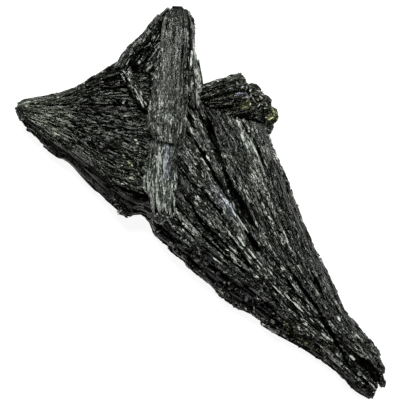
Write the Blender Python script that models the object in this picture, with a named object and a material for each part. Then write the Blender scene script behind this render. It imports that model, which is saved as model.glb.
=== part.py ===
# Black kyanite: one grown cluster of dark, striated blades, lying on its broad side.
# Three fans meet at an upright blade: one spreads to the left, one runs up, and the largest
# tapers to a splintered tip at the lower right. A bunch of stubby columns leans out behind.
# Sizes and places are in millimetres, +Z up, and the cluster rests on z = 0.

import random

import bmesh
import bpy
import numpy as np

MM = 0.001

# Each fan is swept between guide fibres. A guide is one fibre's path, from the fan's narrow
# or upper end to its far end: x, y, height of the top face, height of the underside.
# Shares say how far across the fan each guide lies.

LEFT_FAN = {
    "outline_low": [
        (-36.8, 16.9, 4.2, 2.4), (-35.4, 15.6, 4.0, 2.0), (-32.2, 12.4, 3.8, 1.5),
        (-29.0, 9.3, 3.5, 1.2), (-26.8, 8.3, 3.6, 1.2), (-22.2, 4.0, 3.8, 1.2),
        (-18.2, 0.0, 4.2, 1.4), (-14.9, -3.2, 4.8, 1.8), (-9.6, -3.6, 5.2, 2.0),
        (-5.0, -4.0, 5.6, 2.0),
    ],
    "crease": [
        (-37.2, 17.8, 4.9, 2.2), (-35.2, 16.8, 5.4, 1.6), (-30.0, 13.6, 6.8, 0.8),
        (-25.6, 10.6, 8.0, 0.3), (-21.6, 7.4, 9.0, 0.1), (-17.6, 4.2, 9.8, 0.1),
        (-9.6, -0.6, 10.6, 0.6), (-4.0, -2.0, 10.8, 0.8),
    ],
    "middle": [
        (-37.4, 18.6, 5.4, 2.0), (-32.0, 17.8, 6.6, 1.2), (-25.0, 16.0, 7.8, 0.4),
        (-18.0, 13.4, 8.8, 0.2), (-7.4, 9.2, 10.2, 0.4), (-3.0, 7.6, 10.6, 0.8),
    ],
    "valley": [
        (-37.2, 19.4, 5.0, 2.4), (-31.0, 20.0, 6.2, 1.6), (-24.0, 21.2, 6.8, 1.2),
        (-17.0, 22.2, 7.2, 1.2), (-7.4, 22.4, 8.2, 1.6), (-3.6, 22.4, 8.6, 2.4),
    ],
    "outline_high": [
        (-36.5, 20.2, 4.4, 2.8), (-33.0, 20.8, 4.8, 2.4), (-30.0, 21.4, 5.0, 2.2),
        (-26.0, 22.7, 5.4, 2.2), (-23.0, 24.3, 5.8, 2.4), (-20.0, 26.1, 6.4, 2.8),
        (-16.4, 28.3, 7.0, 3.4), (-11.0, 31.0, 7.6, 4.0), (-7.0, 32.4, 8.0, 4.6),
    ],
}
LEFT_SHARES = (0.0, 0.22, 0.52, 0.8, 1.0)

UPRIGHT = {
    "left_edge": [
        (-7.0, 38.4, 10.5, 7.5), (-7.6, 35.4, 12.0, 6.0), (-7.8, 32.4, 12.8, 5.5),
        (-8.4, 29.4, 13.4, 5.0), (-9.4, 24.8, 14.2, 4.5), (-10.0, 20.8, 14.8, 4.0),
        (-10.6, 16.4, 15.2, 4.0), (-9.6, 13.0, 15.2, 4.0),
    ],
    "crown_left": [
        (-5.9, 39.1, 11.5, 7.0), (-6.6, 35.4, 13.6, 5.5), (-6.8, 31.4, 14.6, 5.0),
        (-7.6, 26.4, 15.6, 4.5), (-8.6, 20.4, 16.4, 4.0), (-9.0, 16.0, 16.8, 4.0),
        (-8.4, 12.2, 16.8, 4.0),
    ],
    "crown_right": [
        (-3.8, 39.5, 11.5, 7.0), (-3.4, 35.4, 13.6, 5.5), (-3.6, 30.4, 15.0, 5.0),
        (-4.0, 24.4, 16.0, 4.5), (-4.0, 18.4, 16.4, 4.0), (-4.6, 11.4, 16.4, 4.0),
    ],
    "right_edge": [
        (-2.4, 38.9, 10.5, 7.5), (-2.0, 34.4, 12.6, 6.0), (-2.4, 29.4, 13.6, 5.5),
        (-2.6, 24.4, 14.2, 5.0), (-2.4, 19.4, 14.4, 5.0), (-3.0, 11.2, 14.4, 5.0),
    ],
}
UPRIGHT_SHARES = (0.0, 0.16, 0.84, 1.0)

SIDE_BLADE = {
    "left_edge": [
        (-3.4, 38.4, 10.5, 7.5), (-3.0, 33.4, 12.2, 6.0), (-3.2, 28.4, 13.0, 5.0),
        (-3.0, 23.4, 13.6, 4.5), (-2.4, 18.4, 13.8, 4.0),
    ],
    "crest": [
        (-2.2, 38.3, 11.0, 7.0), (-1.8, 33.4, 13.4, 5.5), (-1.6, 28.4, 14.2, 5.0),
        (-1.2, 23.4, 14.8, 4.5), (-0.8, 17.8, 15.0, 4.0),
    ],
    "right_edge": [
        (-1.4, 38.0, 10.0, 8.0), (-1.0, 35.4, 11.5, 7.0), (-1.0, 30.8, 12.0, 6.0),
        (-0.6, 27.8, 12.0, 5.5), (0.1, 24.4, 12.2, 5.0), (0.3, 22.0, 12.4, 4.5),
        (0.1, 17.2, 12.4, 4.0),
    ],
}
SIDE_SHARES = (0.0, 0.5, 1.0)

WEB = {
    "outline": [
        (-6.4, 38.6, 10.0, 8.0), (-9.0, 36.8, 10.0, 7.2), (-10.9, 34.4, 9.6, 6.4),
        (-12.6, 32.5, 9.2, 5.6), (-14.4, 31.0, 8.8, 5.0), (-15.8, 29.2, 8.4, 4.4),
        (-17.4, 27.2, 7.4, 3.8),
    ],
    "rim": [
        (-6.0, 37.8, 11.4, 7.0), (-8.2, 35.8, 11.2, 6.4), (-10.0, 33.5, 10.6, 5.6),
        (-12.0, 31.3, 10.0, 4.8), (-13.8, 29.7, 9.4, 4.2), (-15.6, 27.0, 8.6, 3.4),
    ],
    "floor": [
        (-6.0, 34.4, 9.6, 6.4), (-8.0, 30.8, 8.8, 5.2), (-10.0, 28.0, 8.2, 4.2),
        (-12.8, 25.2, 7.8, 3.0),
    ],
    "inner_edge": [
        (-6.0, 28.4, 9.6, 5.4), (-7.6, 24.8, 9.0, 4.0), (-9.2, 22.0, 8.6, 3.0),
        (-11.0, 19.6, 8.4, 2.0),
    ],
}
WEB_SHARES = (0.0, 0.15, 0.6, 1.0)

RIDGE_BLADE = {
    "left_edge": [(-16.2, 27.6, 8.4, 4.0), (-14.6, 24.0, 8.8, 4.0), (-12.2, 18.8, 9.4, 4.0)],
    "crest": [(-15.0, 27.6, 10.0, 4.0), (-13.6, 24.4, 10.8, 4.0), (-11.2, 19.2, 11.6, 4.0)],
    "right_edge": [(-13.8, 27.2, 8.4, 4.0), (-12.4, 24.4, 9.0, 4.0), (-10.2, 19.6, 9.8, 4.0)],
}
RIDGE_SHARES = (0.0, 0.5, 1.0)

LOWER_SPINE = {
    "left_edge": [
        (-9.8, 13.4, 13.4, 5.0), (-10.8, 8.4, 12.6, 4.0), (-11.8, 2.8, 11.6, 3.0),
        (-9.9, 1.4, 11.5, 3.0), (-9.8, -4.2, 11.0, 3.0),
    ],
    "crest_left": [(-8.6, 13.4, 15.4, 4.0), (-9.2, 6.4, 15.0, 3.5), (-9.0, -4.4, 14.0, 3.0)],
    "crest_right": [(-6.0, 12.8, 15.4, 4.0), (-6.2, 4.4, 15.0, 3.5), (-5.6, -4.4, 13.8, 3.0)],
    "right_edge": [(-4.0, 12.8, 13.5, 5.0), (-4.2, 4.4, 13.0, 4.0), (-4.2, -4.0, 12.5, 3.0)],
}
SPINE_SHARES = (0.0, 0.25, 0.8, 1.0)

RIGHT_FAN = {
    "outline_low": [
        (-11.0, -2.4, 4.0, 1.5), (-9.9, -4.4, 4.0, 1.5), (-9.2, -6.8, 3.8, 1.2),
        (-5.9, -9.6, 3.6, 1.0), (-2.4, -13.2, 3.4, 0.8), (1.6, -16.4, 3.2, 0.8),
        (4.0, -19.0, 3.0, 0.8), (8.0, -21.6, 3.0, 0.8), (12.4, -24.6, 2.8, 0.8),
        (20.0, -28.8, 2.6, 0.7), (24.2, -31.5, 2.6, 0.7), (28.2, -34.6, 2.6, 0.7),
        (31.4, -37.9, 2.6, 0.8), (34.4, -39.5, 2.8, 1.0),
    ],
    "crease": [
        (-8.8, 0.4, 12.5, 0.8), (-5.6, -4.0, 12.2, 0.5), (-0.4, -9.6, 11.8, 0.3),
        (5.0, -13.6, 11.2, 0.2), (11.0, -17.6, 10.2, 0.2), (18.0, -24.0, 8.6, 0.2),
        (25.0, -29.6, 7.2, 0.3), (30.4, -34.8, 6.2, 0.5), (34.9, -38.4, 5.4, 0.8),
    ],
    "laths": [
        (-6.4, 12.8, 13.4, 1.2), (0.0, 4.0, 13.6, 0.8), (5.2, -2.6, 13.0, 0.5),
        (10.0, -9.6, 12.2, 0.3), (16.0, -16.6, 10.8, 0.2), (23.0, -23.6, 9.0, 0.3),
        (29.0, -30.0, 7.4, 0.5), (35.6, -37.0, 5.8, 1.0),
    ],
    "groove": [
        (-2.8, 20.6, 12.4, 2.6), (4.4, 7.4, 12.8, 1.4), (8.0, 0.0, 12.4, 1.0),
        (11.2, -6.0, 12.0, 0.8), (16.4, -14.0, 11.0, 0.5), (23.0, -21.6, 9.4, 0.4),
        (30.0, -28.6, 7.6, 0.4), (36.6, -34.6, 5.8, 1.4),
    ],
    "sheet": [
        (6.4, 16.8, 12.6, 3.0), (10.4, 8.4, 12.4, 2.4), (13.6, 1.4, 12.0, 1.8),
        (16.8, -6.0, 11.4, 1.4), (21.0, -13.2, 10.2, 1.0), (26.4, -20.6, 8.6, 0.8),
        (32.4, -27.6, 7.0, 0.8), (36.8, -32.8, 5.8, 1.6),
    ],
    "shoulder": [
        (11.2, 16.0, 11.4, 4.0), (13.6, 10.4, 11.4, 3.4), (16.4, 2.4, 10.8, 2.8),
        (19.2, -4.6, 10.2, 2.4), (23.6, -12.4, 9.0, 2.0), (28.4, -21.2, 7.8, 1.6),
        (33.2, -27.2, 6.6, 1.6), (36.4, -31.0, 5.6, 2.0),
    ],
    "outline_high": [
        (13.2, 15.2, 8.0, 5.5), (13.9, 12.8, 8.0, 5.2), (15.3, 9.4, 7.8, 5.0),
        (16.9, 6.2, 7.6, 4.8), (18.2, 2.6, 7.4, 4.6), (20.7, -4.0, 7.0, 4.2),
        (23.6, -10.4, 6.6, 3.8), (26.7, -16.2, 6.2, 3.4), (28.9, -21.2, 6.0, 3.2),
        (31.6, -23.6, 5.6, 3.0), (34.6, -27.0, 5.2, 2.8), (36.6, -29.8, 4.8, 2.8),
    ],
}
RIGHT_SHARES = (0.0, 0.16, 0.42, 0.56, 0.78, 0.95, 1.0)

STUB_BED = {
    "low_edge": [(-5.0, 16.0, 9.0, 3.0), (5.0, 14.6, 7.4, 3.0), (13.8, 14.4, 5.4, 3.2)],
    "middle": [(-5.0, 20.0, 9.6, 3.0), (6.0, 19.6, 8.4, 3.0), (14.4, 18.4, 6.4, 3.2)],
    "high_edge": [(-5.0, 23.2, 9.4, 4.6), (5.0, 24.4, 8.6, 4.8), (9.6, 24.4, 7.8, 5.0)],
}
BED_SHARES = (0.0, 0.5, 1.0)

# The fans: guides, shares, blades across, and how far a blade may stand proud or sink in.
FANS = {
    "right_fan": (RIGHT_FAN, RIGHT_SHARES, 26, 0.75),
    "left_fan": (LEFT_FAN, LEFT_SHARES, 18, 0.55),
    "upright": (UPRIGHT, UPRIGHT_SHARES, 7, 0.35),
    "side_blade": (SIDE_BLADE, SIDE_SHARES, 3, 0.25),
    "web": (WEB, WEB_SHARES, 7, 0.4),
    "ridge_blade": (RIDGE_BLADE, RIDGE_SHARES, 3, 0.2),
    "lower_spine": (LOWER_SPINE, SPINE_SHARES, 5, 0.35),
    "stub_bed": (STUB_BED, BED_SHARES, 5, 0.4),
}

# A blade's face is flat between two shoulders. Widths are relative to each other, lean is a
# share of the relief, and breaks and play are shares of the blade's length.
BLADE_WIDTHS = (0.6, 1.5)
BLADE_SHOULDER = 0.12
BLADE_LEAN = 0.4
BREAKS = (0.3, 0.66)
BREAK_HALF = 0.006
STATION_PLAY = 0.03
FULL_RELIEF_THICKNESS = 4.0

# Splinters lie on a fan's face along its fibres: the fan, how many, the band of v that they
# keep to, and their width, thinnest and thickest rise.
SPLINTERS = (
    ("right_fan", 6, (0.2, 0.55), (1.0, 1.8), (0.3, 0.9)),
    ("right_fan", 4, (0.6, 0.93), (0.9, 1.6), (0.2, 0.7)),
    ("right_fan", 4, (0.05, 0.14), (1.0, 1.8), (0.3, 0.8)),
    ("left_fan", 4, (0.26, 0.8), (0.9, 1.5), (0.2, 0.6)),
)
SPLINTER_STARTS = (0.06, 0.7)
SPLINTER_LENGTHS = (0.08, 0.24)
SPLINTER_SINK = 1.2
SPLINTER_LEAN = 0.25
SPLINTER_SKEW = 0.8
SPLINTER_TOP_WIDTH = 0.8
SPLINTER_STATIONS = 3

# How far to each side of a point, along and across a fan, its direction is measured.
ALONG_PROBE = 0.02
ACROSS_PROBE = 0.01

# Lumps are rounded knots of short crystals: centre, then half width along x, y and z.
LUMPS = (
    ((-35.6, 18.3, 4.0), (1.7, 1.9, 1.3)),
    ((-14.6, -1.6, 4.6), (2.0, 1.6, 1.8)),
    ((-16.4, 0.6, 5.4), (1.6, 1.4, 1.6)),
    ((-8.2, -5.4, 5.0), (1.7, 1.6, 2.2)),
    ((14.6, 17.6, 6.6), (1.2, 1.4, 1.2)),
    ((14.0, 15.0, 5.8), (1.3, 1.2, 1.3)),
    ((11.6, 21.4, 8.2), (1.3, 1.2, 1.2)),
    ((8.6, 23.4, 9.2), (1.2, 1.0, 1.0)),
    ((12.6, 18.6, 8.6), (1.1, 1.0, 1.0)),
)
LUMP_SIDES = 7
LUMP_RINGS = ((-0.9, 0.6), (-0.2, 1.0), (0.5, 0.85), (1.0, 0.4))
LUMP_REACH = (0.88, 1.08)
CORNER_PLAY = 0.2

# A column is a round bundle of fibres: start, end, radius at each end.
HEART = ((-5.4, -3.0, 6.4), (-4.4, 33.0, 8.4), 4.6, 2.6)
STUB_COLUMNS = (
    ((-2.4, 21.2, 8.6), (8.8, 24.4, 8.6), 1.4, 1.75),
    ((-2.4, 20.4, 8.0), (11.6, 22.6, 7.8), 1.3, 1.7),
    ((-2.0, 19.2, 7.4), (14.2, 20.0, 6.8), 1.4, 1.75),
    ((-1.0, 17.8, 6.6), (15.7, 17.2, 5.8), 1.4, 1.85),
    ((0.6, 16.6, 5.8), (14.8, 14.4, 4.8), 1.4, 1.6),
    ((2.0, 19.8, 9.0), (9.6, 20.6, 9.2), 1.0, 1.4),
    ((4.0, 18.0, 8.2), (12.8, 18.2, 8.0), 1.0, 1.4),
)
COLUMN_SIDES = 8
COLUMN_TURN = 0.12
COLUMN_BULGES = (0.86, 1.1)
PLAIN_SHARES = (0.0, 1.0)
PLAIN_GIRTHS = (1.0, 1.0)
KNOB_SHARES = (0.0, 0.55, 0.86, 0.96, 1.0)
KNOB_GIRTHS = (1.0, 1.0, 1.12, 0.86, 0.42)

TIP_PRONGS = (
    ((31.0, -27.6, 4.8), (37.3, -34.8, 3.9), 1.5, 0.7),
    ((30.0, -31.4, 3.6), (37.2, -37.0, 3.2), 1.4, 0.7),
    ((29.0, -33.6, 3.0), (35.4, -39.0, 2.9), 1.6, 0.8),
)

# A groove between blades is a wedge cut along a path of x, y and width, down to a floor.
GROOVES = (
    (((4.4, 7.4, 0.3), (6.4, 2.4, 0.9), (9.0, -2.6, 1.6), (10.6, -4.8, 0.4)), 9.0),
    (((8.8, -5.6, 0.3), (11.0, -8.6, 1.1), (12.0, -10.8, 0.3)), 9.4),
    (((1.6, 16.6, 0.4), (3.0, 11.6, 1.1), (4.4, 6.4, 0.4)), 9.0),
    (((-3.6, 20.0, 0.3), (-1.8, 16.4, 0.8), (-0.4, 12.6, 0.3)), 11.0),
    (((-3.3, 28.4, 0.3), (-2.8, 24.4, 0.8), (-2.5, 21.6, 0.4)), 10.0),
    (((10.8, 14.6, 0.5), (12.8, 9.2, 0.4)), 9.6),
    (((17.6, -13.2, 0.3), (23.6, -21.6, 1.1), (27.0, -27.6, 0.9), (30.0, -33.2, 0.4)), 3.6),
    (((22.0, -13.6, 0.3), (23.4, -16.2, 0.7), (24.4, -18.4, 0.3)), 6.0),
    (((-19.6, 15.4, 0.3), (-15.0, 14.6, 0.8), (-11.0, 13.0, 0.4)), 6.0),
    (((-24.0, 8.8, 0.3), (-19.6, 5.2, 0.8), (-14.6, 2.0, 0.4)), 6.4),
)
GROOVE_HEADROOM = 24.0

HALF_SPAN = 50.0
TRIM_DEPTH = 6.0

# The move that brings the middle of the cluster's outline over the origin.
TO_CENTRE = (-0.21, 0.08, 0.0)

KYANITE_COLOUR = (0.055, 0.058, 0.052, 1.0)
KYANITE_ROUGHNESS = 0.42


def fibre(points, steps=6):
    """A guide's points joined by one smooth curve through all of them."""
    p = np.array(points)
    p = np.vstack([2 * p[0] - p[1], p, 2 * p[-1] - p[-2]])
    curve = []
    for a, b, c, d in zip(p[:-3], p[1:-2], p[2:-1], p[3:]):
        for t in np.linspace(0, 1, steps, endpoint=False):
            curve.append((2 * b + (c - a) * t + (2 * a - 5 * b + 4 * c - d) * t ** 2
                          + (3 * b - 3 * c + d - a) * t ** 3) / 2)
    return np.array(curve + [p[-2]])


def along(curve, share):
    """The point of a fibre at a share of its length."""
    steps = np.linalg.norm(np.diff(curve[:, :2], axis=0), axis=1)
    lengths = np.concatenate([[0.0], np.cumsum(steps)]) / steps.sum()
    return np.array([np.interp(share, lengths, curve[:, i]) for i in range(4)])


def across(fibres, shares, u, v):
    """The fan's surface at u along its fibres and v across them: x, y, top, underside."""
    values = np.array([along(curve, u) for curve in fibres])
    return np.array([np.interp(v, shares, values[:, i]) for i in range(4)])


def blade_stations(rng):
    """Where a blade's cross-sections lie: slightly uneven, in close pairs where it may break."""
    shift = rng.uniform(-STATION_PLAY, STATION_PLAY)
    stations = [0.0]
    for at in BREAKS:
        stations += [(stations[-1] + at + shift) / 2, at + shift - BREAK_HALF,
                     at + shift + BREAK_HALF]
    stations += [(stations[-1] + 1) / 2, 1.0]
    stations[0] = rng.choice((0.0, rng.uniform(0.0, STATION_PLAY)))
    stations[-1] = rng.choice((1.0, 1 - rng.uniform(0.0, STATION_PLAY)))
    return stations


def blade_heights(rng, relief):
    """A blade's height at each station: it may step at each break."""
    level = rng.uniform(-relief, relief)
    heights = [level] * 3
    for _ in BREAKS[1:]:
        level = rng.choice((level, rng.uniform(-relief, relief)))
        heights += [level] * 3
    return np.array(heights + [rng.choice((level, rng.uniform(-relief, relief)))] * 3)


def fan_columns(rng, blades, relief):
    """The columns of points across a fan: its rims, and the two edges of each blade's face.
    A column is its place v, its stations u, and its relief on top and on the underside."""
    widths = np.array([rng.uniform(*BLADE_WIDTHS) for _ in range(blades)])
    edges = np.concatenate([[0.0], np.cumsum(widths) / widths.sum()])
    columns = []
    for left, right in zip(edges[:-1], edges[1:]):
        stations = blade_stations(rng)
        up, down = blade_heights(rng, relief), blade_heights(rng, relief)
        lean = rng.uniform(-BLADE_LEAN, BLADE_LEAN) * relief
        shoulder = BLADE_SHOULDER * (right - left)
        columns.append((left + shoulder, stations, up - lean, down + lean))
        columns.append((right - shoulder, stations, up + lean, down - lean))
    flat = np.zeros(len(stations))
    return [(0.0, columns[0][1], flat, flat)] + columns + [(1.0, columns[-1][1], flat, flat)]


def fan_mesh(guides, shares, blades, relief, seed):
    """One closed fan, its upper and lower faces split into blades at uneven heights."""
    columns = fan_columns(random.Random(seed), blades, relief)
    fibres = [fibre(guide) for guide in guides.values()]
    vertices = []
    for v, stations, up, down in columns:
        for k, u in enumerate(stations):
            x, y, top, under = across(fibres, shares, u, v)
            share = min(1.0, (top - under) / FULL_RELIEF_THICKNESS)
            vertices.append((x, y, top + up[k] * share))
            vertices.append((x, y, under - down[k] * share))
    faces = []
    count = len(columns[0][1])
    for c in range(len(columns) - 1):
        near, far = 2 * c * count, 2 * (c + 1) * count
        for s in range(count - 1):
            a, b = near + 2 * s, far + 2 * s
            faces.append((a, a + 2, b + 2, b))
            faces.append((a + 1, b + 1, b + 3, a + 3))
        last = 2 * (count - 1)
        faces.append((near, far, far + 1, near + 1))
        faces.append((near + last, near + last + 1, far + last + 1, far + last))
    final = 2 * (len(columns) - 1) * count
    for s in range(count - 1):
        a, b = 2 * s, final + 2 * s
        faces.append((a, a + 1, a + 3, a + 2))
        faces.append((b, b + 2, b + 3, b + 1))
    return vertices, faces


def tube_faces(rings, ring):
    """Faces of a closed tube of rings, each of the same number of points, with flat ends."""
    faces = [tuple(range(ring))[::-1]]
    for row in range(rings - 1):
        for k in range(ring):
            a, b = row * ring + k, row * ring + (k + 1) % ring
            faces.append((a, b, b + ring, a + ring))
    faces.append(tuple(range((rings - 1) * ring, rings * ring)))
    return faces


def splinter_mesh(fibres, shares, v, ends, width, rise, lean, skew):
    """A short, slanted bar that stands proud of a fan's face."""
    vertices = []
    for k, u in enumerate(np.linspace(*ends, SPLINTER_STATIONS)):
        centre = across(fibres, shares, u, v)
        run = across(fibres, shares, u + ALONG_PROBE, v) - across(fibres, shares, u - ALONG_PROBE, v)
        run = run[:2] / np.linalg.norm(run[:2])
        out = np.array([-run[1], run[0]])
        aside = (across(fibres, shares, u, v + ACROSS_PROBE)
                 - across(fibres, shares, u, v - ACROSS_PROBE))
        tilt = aside[2] / (aside[:2] @ out) * width / 2
        slant = run * (skew if k in (0, SPLINTER_STATIONS - 1) else 0.0)
        sink = min(SPLINTER_SINK, (centre[2] - centre[3]) / 2)
        section = [(-1.0, -sink), (1.0, -sink), (SPLINTER_TOP_WIDTH, rise - lean),
                   (-SPLINTER_TOP_WIDTH, rise + lean)]
        for share, height in section:
            x, y = centre[:2] + (out * width / 2 + slant) * share
            vertices.append((x, y, centre[2] + tilt * share + height))
    return vertices, tube_faces(SPLINTER_STATIONS, len(section))


def splinters():
    """Every splinter, each at its own place along and across its fan."""
    rng = random.Random("splinters")
    for fan, count, band, widths, rises in SPLINTERS:
        guides, shares = FANS[fan][:2]
        fibres = [fibre(guide) for guide in guides.values()]
        for k in range(count):
            v = band[0] + (band[1] - band[0]) * (k + rng.random()) / count
            start = rng.uniform(*SPLINTER_STARTS)
            ends = start, start + rng.uniform(*SPLINTER_LENGTHS)
            width, rise = rng.uniform(*widths), rng.uniform(*rises)
            lean = rng.uniform(-SPLINTER_LEAN, SPLINTER_LEAN)
            skew = rng.uniform(-SPLINTER_SKEW, SPLINTER_SKEW)
            yield splinter_mesh(fibres, shares, v, ends, width, rise, lean, skew)


def lump_mesh(centre, halves, seed):
    """A blunt knot: uneven rings between a flat base and a flat top."""
    rng = random.Random(seed)
    vertices = []
    for level, girth in LUMP_RINGS:
        for k in range(LUMP_SIDES):
            angle = 2 * np.pi * (k + rng.uniform(-CORNER_PLAY, CORNER_PLAY)) / LUMP_SIDES
            reach = girth * rng.uniform(*LUMP_REACH)
            vertices.append((centre[0] + halves[0] * reach * np.cos(angle),
                             centre[1] + halves[1] * reach * np.sin(angle),
                             centre[2] + halves[2] * level))
    return vertices, tube_faces(len(LUMP_RINGS), LUMP_SIDES)


def column_mesh(start, end, start_radius, end_radius, shares, girths, seed):
    """One column with flat fibre faces and a rounded or tapering end."""
    rng = random.Random(seed)
    start, end = np.array(start), np.array(end)
    axis = (end - start) / np.linalg.norm(end - start)
    side = np.cross((0.0, 0.0, 1.0), axis)
    side /= np.linalg.norm(side)
    up = np.cross(axis, side)
    turns = [rng.uniform(-COLUMN_TURN, COLUMN_TURN) for _ in range(COLUMN_SIDES)]
    bulges = [rng.uniform(*COLUMN_BULGES) for _ in range(COLUMN_SIDES)]
    vertices = []
    for share, girth in zip(shares, girths):
        centre = start + (end - start) * share
        radius = (start_radius + (end_radius - start_radius) * share) * girth
        for k in range(COLUMN_SIDES):
            angle = 2 * np.pi * (k + turns[k]) / COLUMN_SIDES
            spoke = side * np.cos(angle) + up * np.sin(angle)
            vertices.append(tuple(centre + spoke * radius * bulges[k]))
    return vertices, tube_faces(len(shares), COLUMN_SIDES)


def groove_mesh(path, floor):
    """The wedge that leaves a groove: wide at the top, an edge at the floor."""
    vertices = []
    for k, (x, y, width) in enumerate(path):
        before, after = path[max(k - 1, 0)], path[min(k + 1, len(path) - 1)]
        run = np.array(after[:2]) - np.array(before[:2])
        out = np.array([run[1], -run[0]]) / np.linalg.norm(run) * width / 2
        vertices.append((x, y, floor))
        vertices.append((x - out[0], y - out[1], GROOVE_HEADROOM))
        vertices.append((x + out[0], y + out[1], GROOVE_HEADROOM))
    return vertices, tube_faces(len(path), 3)


def slab_mesh():
    """A wide, thick slab whose top is the surface that the cluster rests on."""
    corners = [(-HALF_SPAN, -HALF_SPAN), (HALF_SPAN, -HALF_SPAN), (HALF_SPAN, HALF_SPAN),
               (-HALF_SPAN, HALF_SPAN)]
    return [(x, y, z) for z in (-TRIM_DEPTH, 0.0) for x, y in corners], tube_faces(2, 4)


def add_object(name, mesh_data, helper=True):
    """A mesh object from millimetres. A helper is only joined to, or cut from, the cluster."""
    points, faces = np.array(mesh_data[0]), mesh_data[1]
    mesh = bpy.data.meshes.new(name)
    mesh.from_pydata((points + TO_CENTRE) * MM, [], faces)
    shape = bmesh.new()
    shape.from_mesh(mesh)
    bmesh.ops.triangulate(shape, faces=shape.faces)
    shape.to_mesh(mesh)
    shape.free()
    made = bpy.data.objects.new(name, mesh)
    bpy.context.scene.collection.objects.link(made)
    if helper:
        made.hide_render = True
        made.display_type = "WIRE"
    return made


def kyanite_material():
    """The cluster's dark, faintly green-grey stone."""
    material = bpy.data.materials.new("black_kyanite")
    material.use_nodes = True
    shader = material.node_tree.nodes["Principled BSDF"]
    shader.inputs["Base Color"].default_value = KYANITE_COLOUR
    shader.inputs["Roughness"].default_value = KYANITE_ROUGHNESS
    shader.inputs["Metallic"].default_value = 0.0
    return material


def combine(target, other, operation):
    """Joins another closed shape to the cluster, or cuts it away."""
    modifier = target.modifiers.new(other.name, "BOOLEAN")
    modifier.operation = operation
    modifier.solver = "EXACT"
    modifier.object = other


def build():
    for old in list(bpy.data.objects):
        bpy.data.objects.remove(old)

    shapes = [(name, fan_mesh(*fan, name)) for name, fan in FANS.items()]
    shapes.append(("heart", column_mesh(*HEART, PLAIN_SHARES, PLAIN_GIRTHS, 0)))
    for number, column in enumerate(STUB_COLUMNS):
        shape = column_mesh(*column, KNOB_SHARES, KNOB_GIRTHS, number)
        shapes.append((f"stub_{number + 1}", shape))
    for number, shape in enumerate(splinters()):
        shapes.append((f"splinter_{number + 1}", shape))
    for number, lump in enumerate(LUMPS):
        shapes.append((f"lump_{number + 1}", lump_mesh(*lump, number)))
    for number, prong in enumerate(TIP_PRONGS):
        shape = column_mesh(*prong, PLAIN_SHARES, PLAIN_GIRTHS, number)
        shapes.append((f"prong_{number + 1}", shape))

    cluster = add_object("black_kyanite", shapes[0][1], helper=False)
    cluster.data.materials.append(kyanite_material())
    for name, shape in shapes[1:]:
        combine(cluster, add_object(name, shape), "UNION")
    for number, groove in enumerate(GROOVES):
        combine(cluster, add_object(f"groove_{number + 1}", groove_mesh(*groove)), "DIFFERENCE")
    combine(cluster, add_object("resting_plane", slab_mesh()), "DIFFERENCE")


build()
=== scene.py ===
from collections import namedtuple

import bpy
import numpy as np
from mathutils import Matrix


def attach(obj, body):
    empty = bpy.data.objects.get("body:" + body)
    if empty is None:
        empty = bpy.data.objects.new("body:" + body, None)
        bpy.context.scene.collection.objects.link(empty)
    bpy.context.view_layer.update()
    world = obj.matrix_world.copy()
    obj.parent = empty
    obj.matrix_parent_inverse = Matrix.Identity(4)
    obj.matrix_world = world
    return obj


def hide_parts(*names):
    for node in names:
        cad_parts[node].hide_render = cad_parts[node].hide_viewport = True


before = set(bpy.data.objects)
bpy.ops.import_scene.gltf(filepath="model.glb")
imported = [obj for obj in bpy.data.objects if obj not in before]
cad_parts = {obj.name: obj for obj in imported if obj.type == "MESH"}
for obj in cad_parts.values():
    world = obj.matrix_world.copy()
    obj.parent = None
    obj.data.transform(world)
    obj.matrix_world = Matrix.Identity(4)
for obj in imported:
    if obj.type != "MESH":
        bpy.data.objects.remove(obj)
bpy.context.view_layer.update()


# The left fan: hair-fine kyanite blades that spread from a blunt apex at the left. They grew
# together, so they are one stone: a bed of fused blades, dark with painted shade, and on it,
# all round, the single blades that broke or weathered free of each other.

# Sizes are in millimetres. Each point of a guide is x, y, the height of the top face there and
# the height of the underside. TO_CENTRE moves the points to the middle of the solid, and no
# fibre lies below LOWEST.
MM = 0.001
TO_CENTRE = np.array((-0.21, 0.08, 0.0))
LOWEST = 0.01

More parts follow.
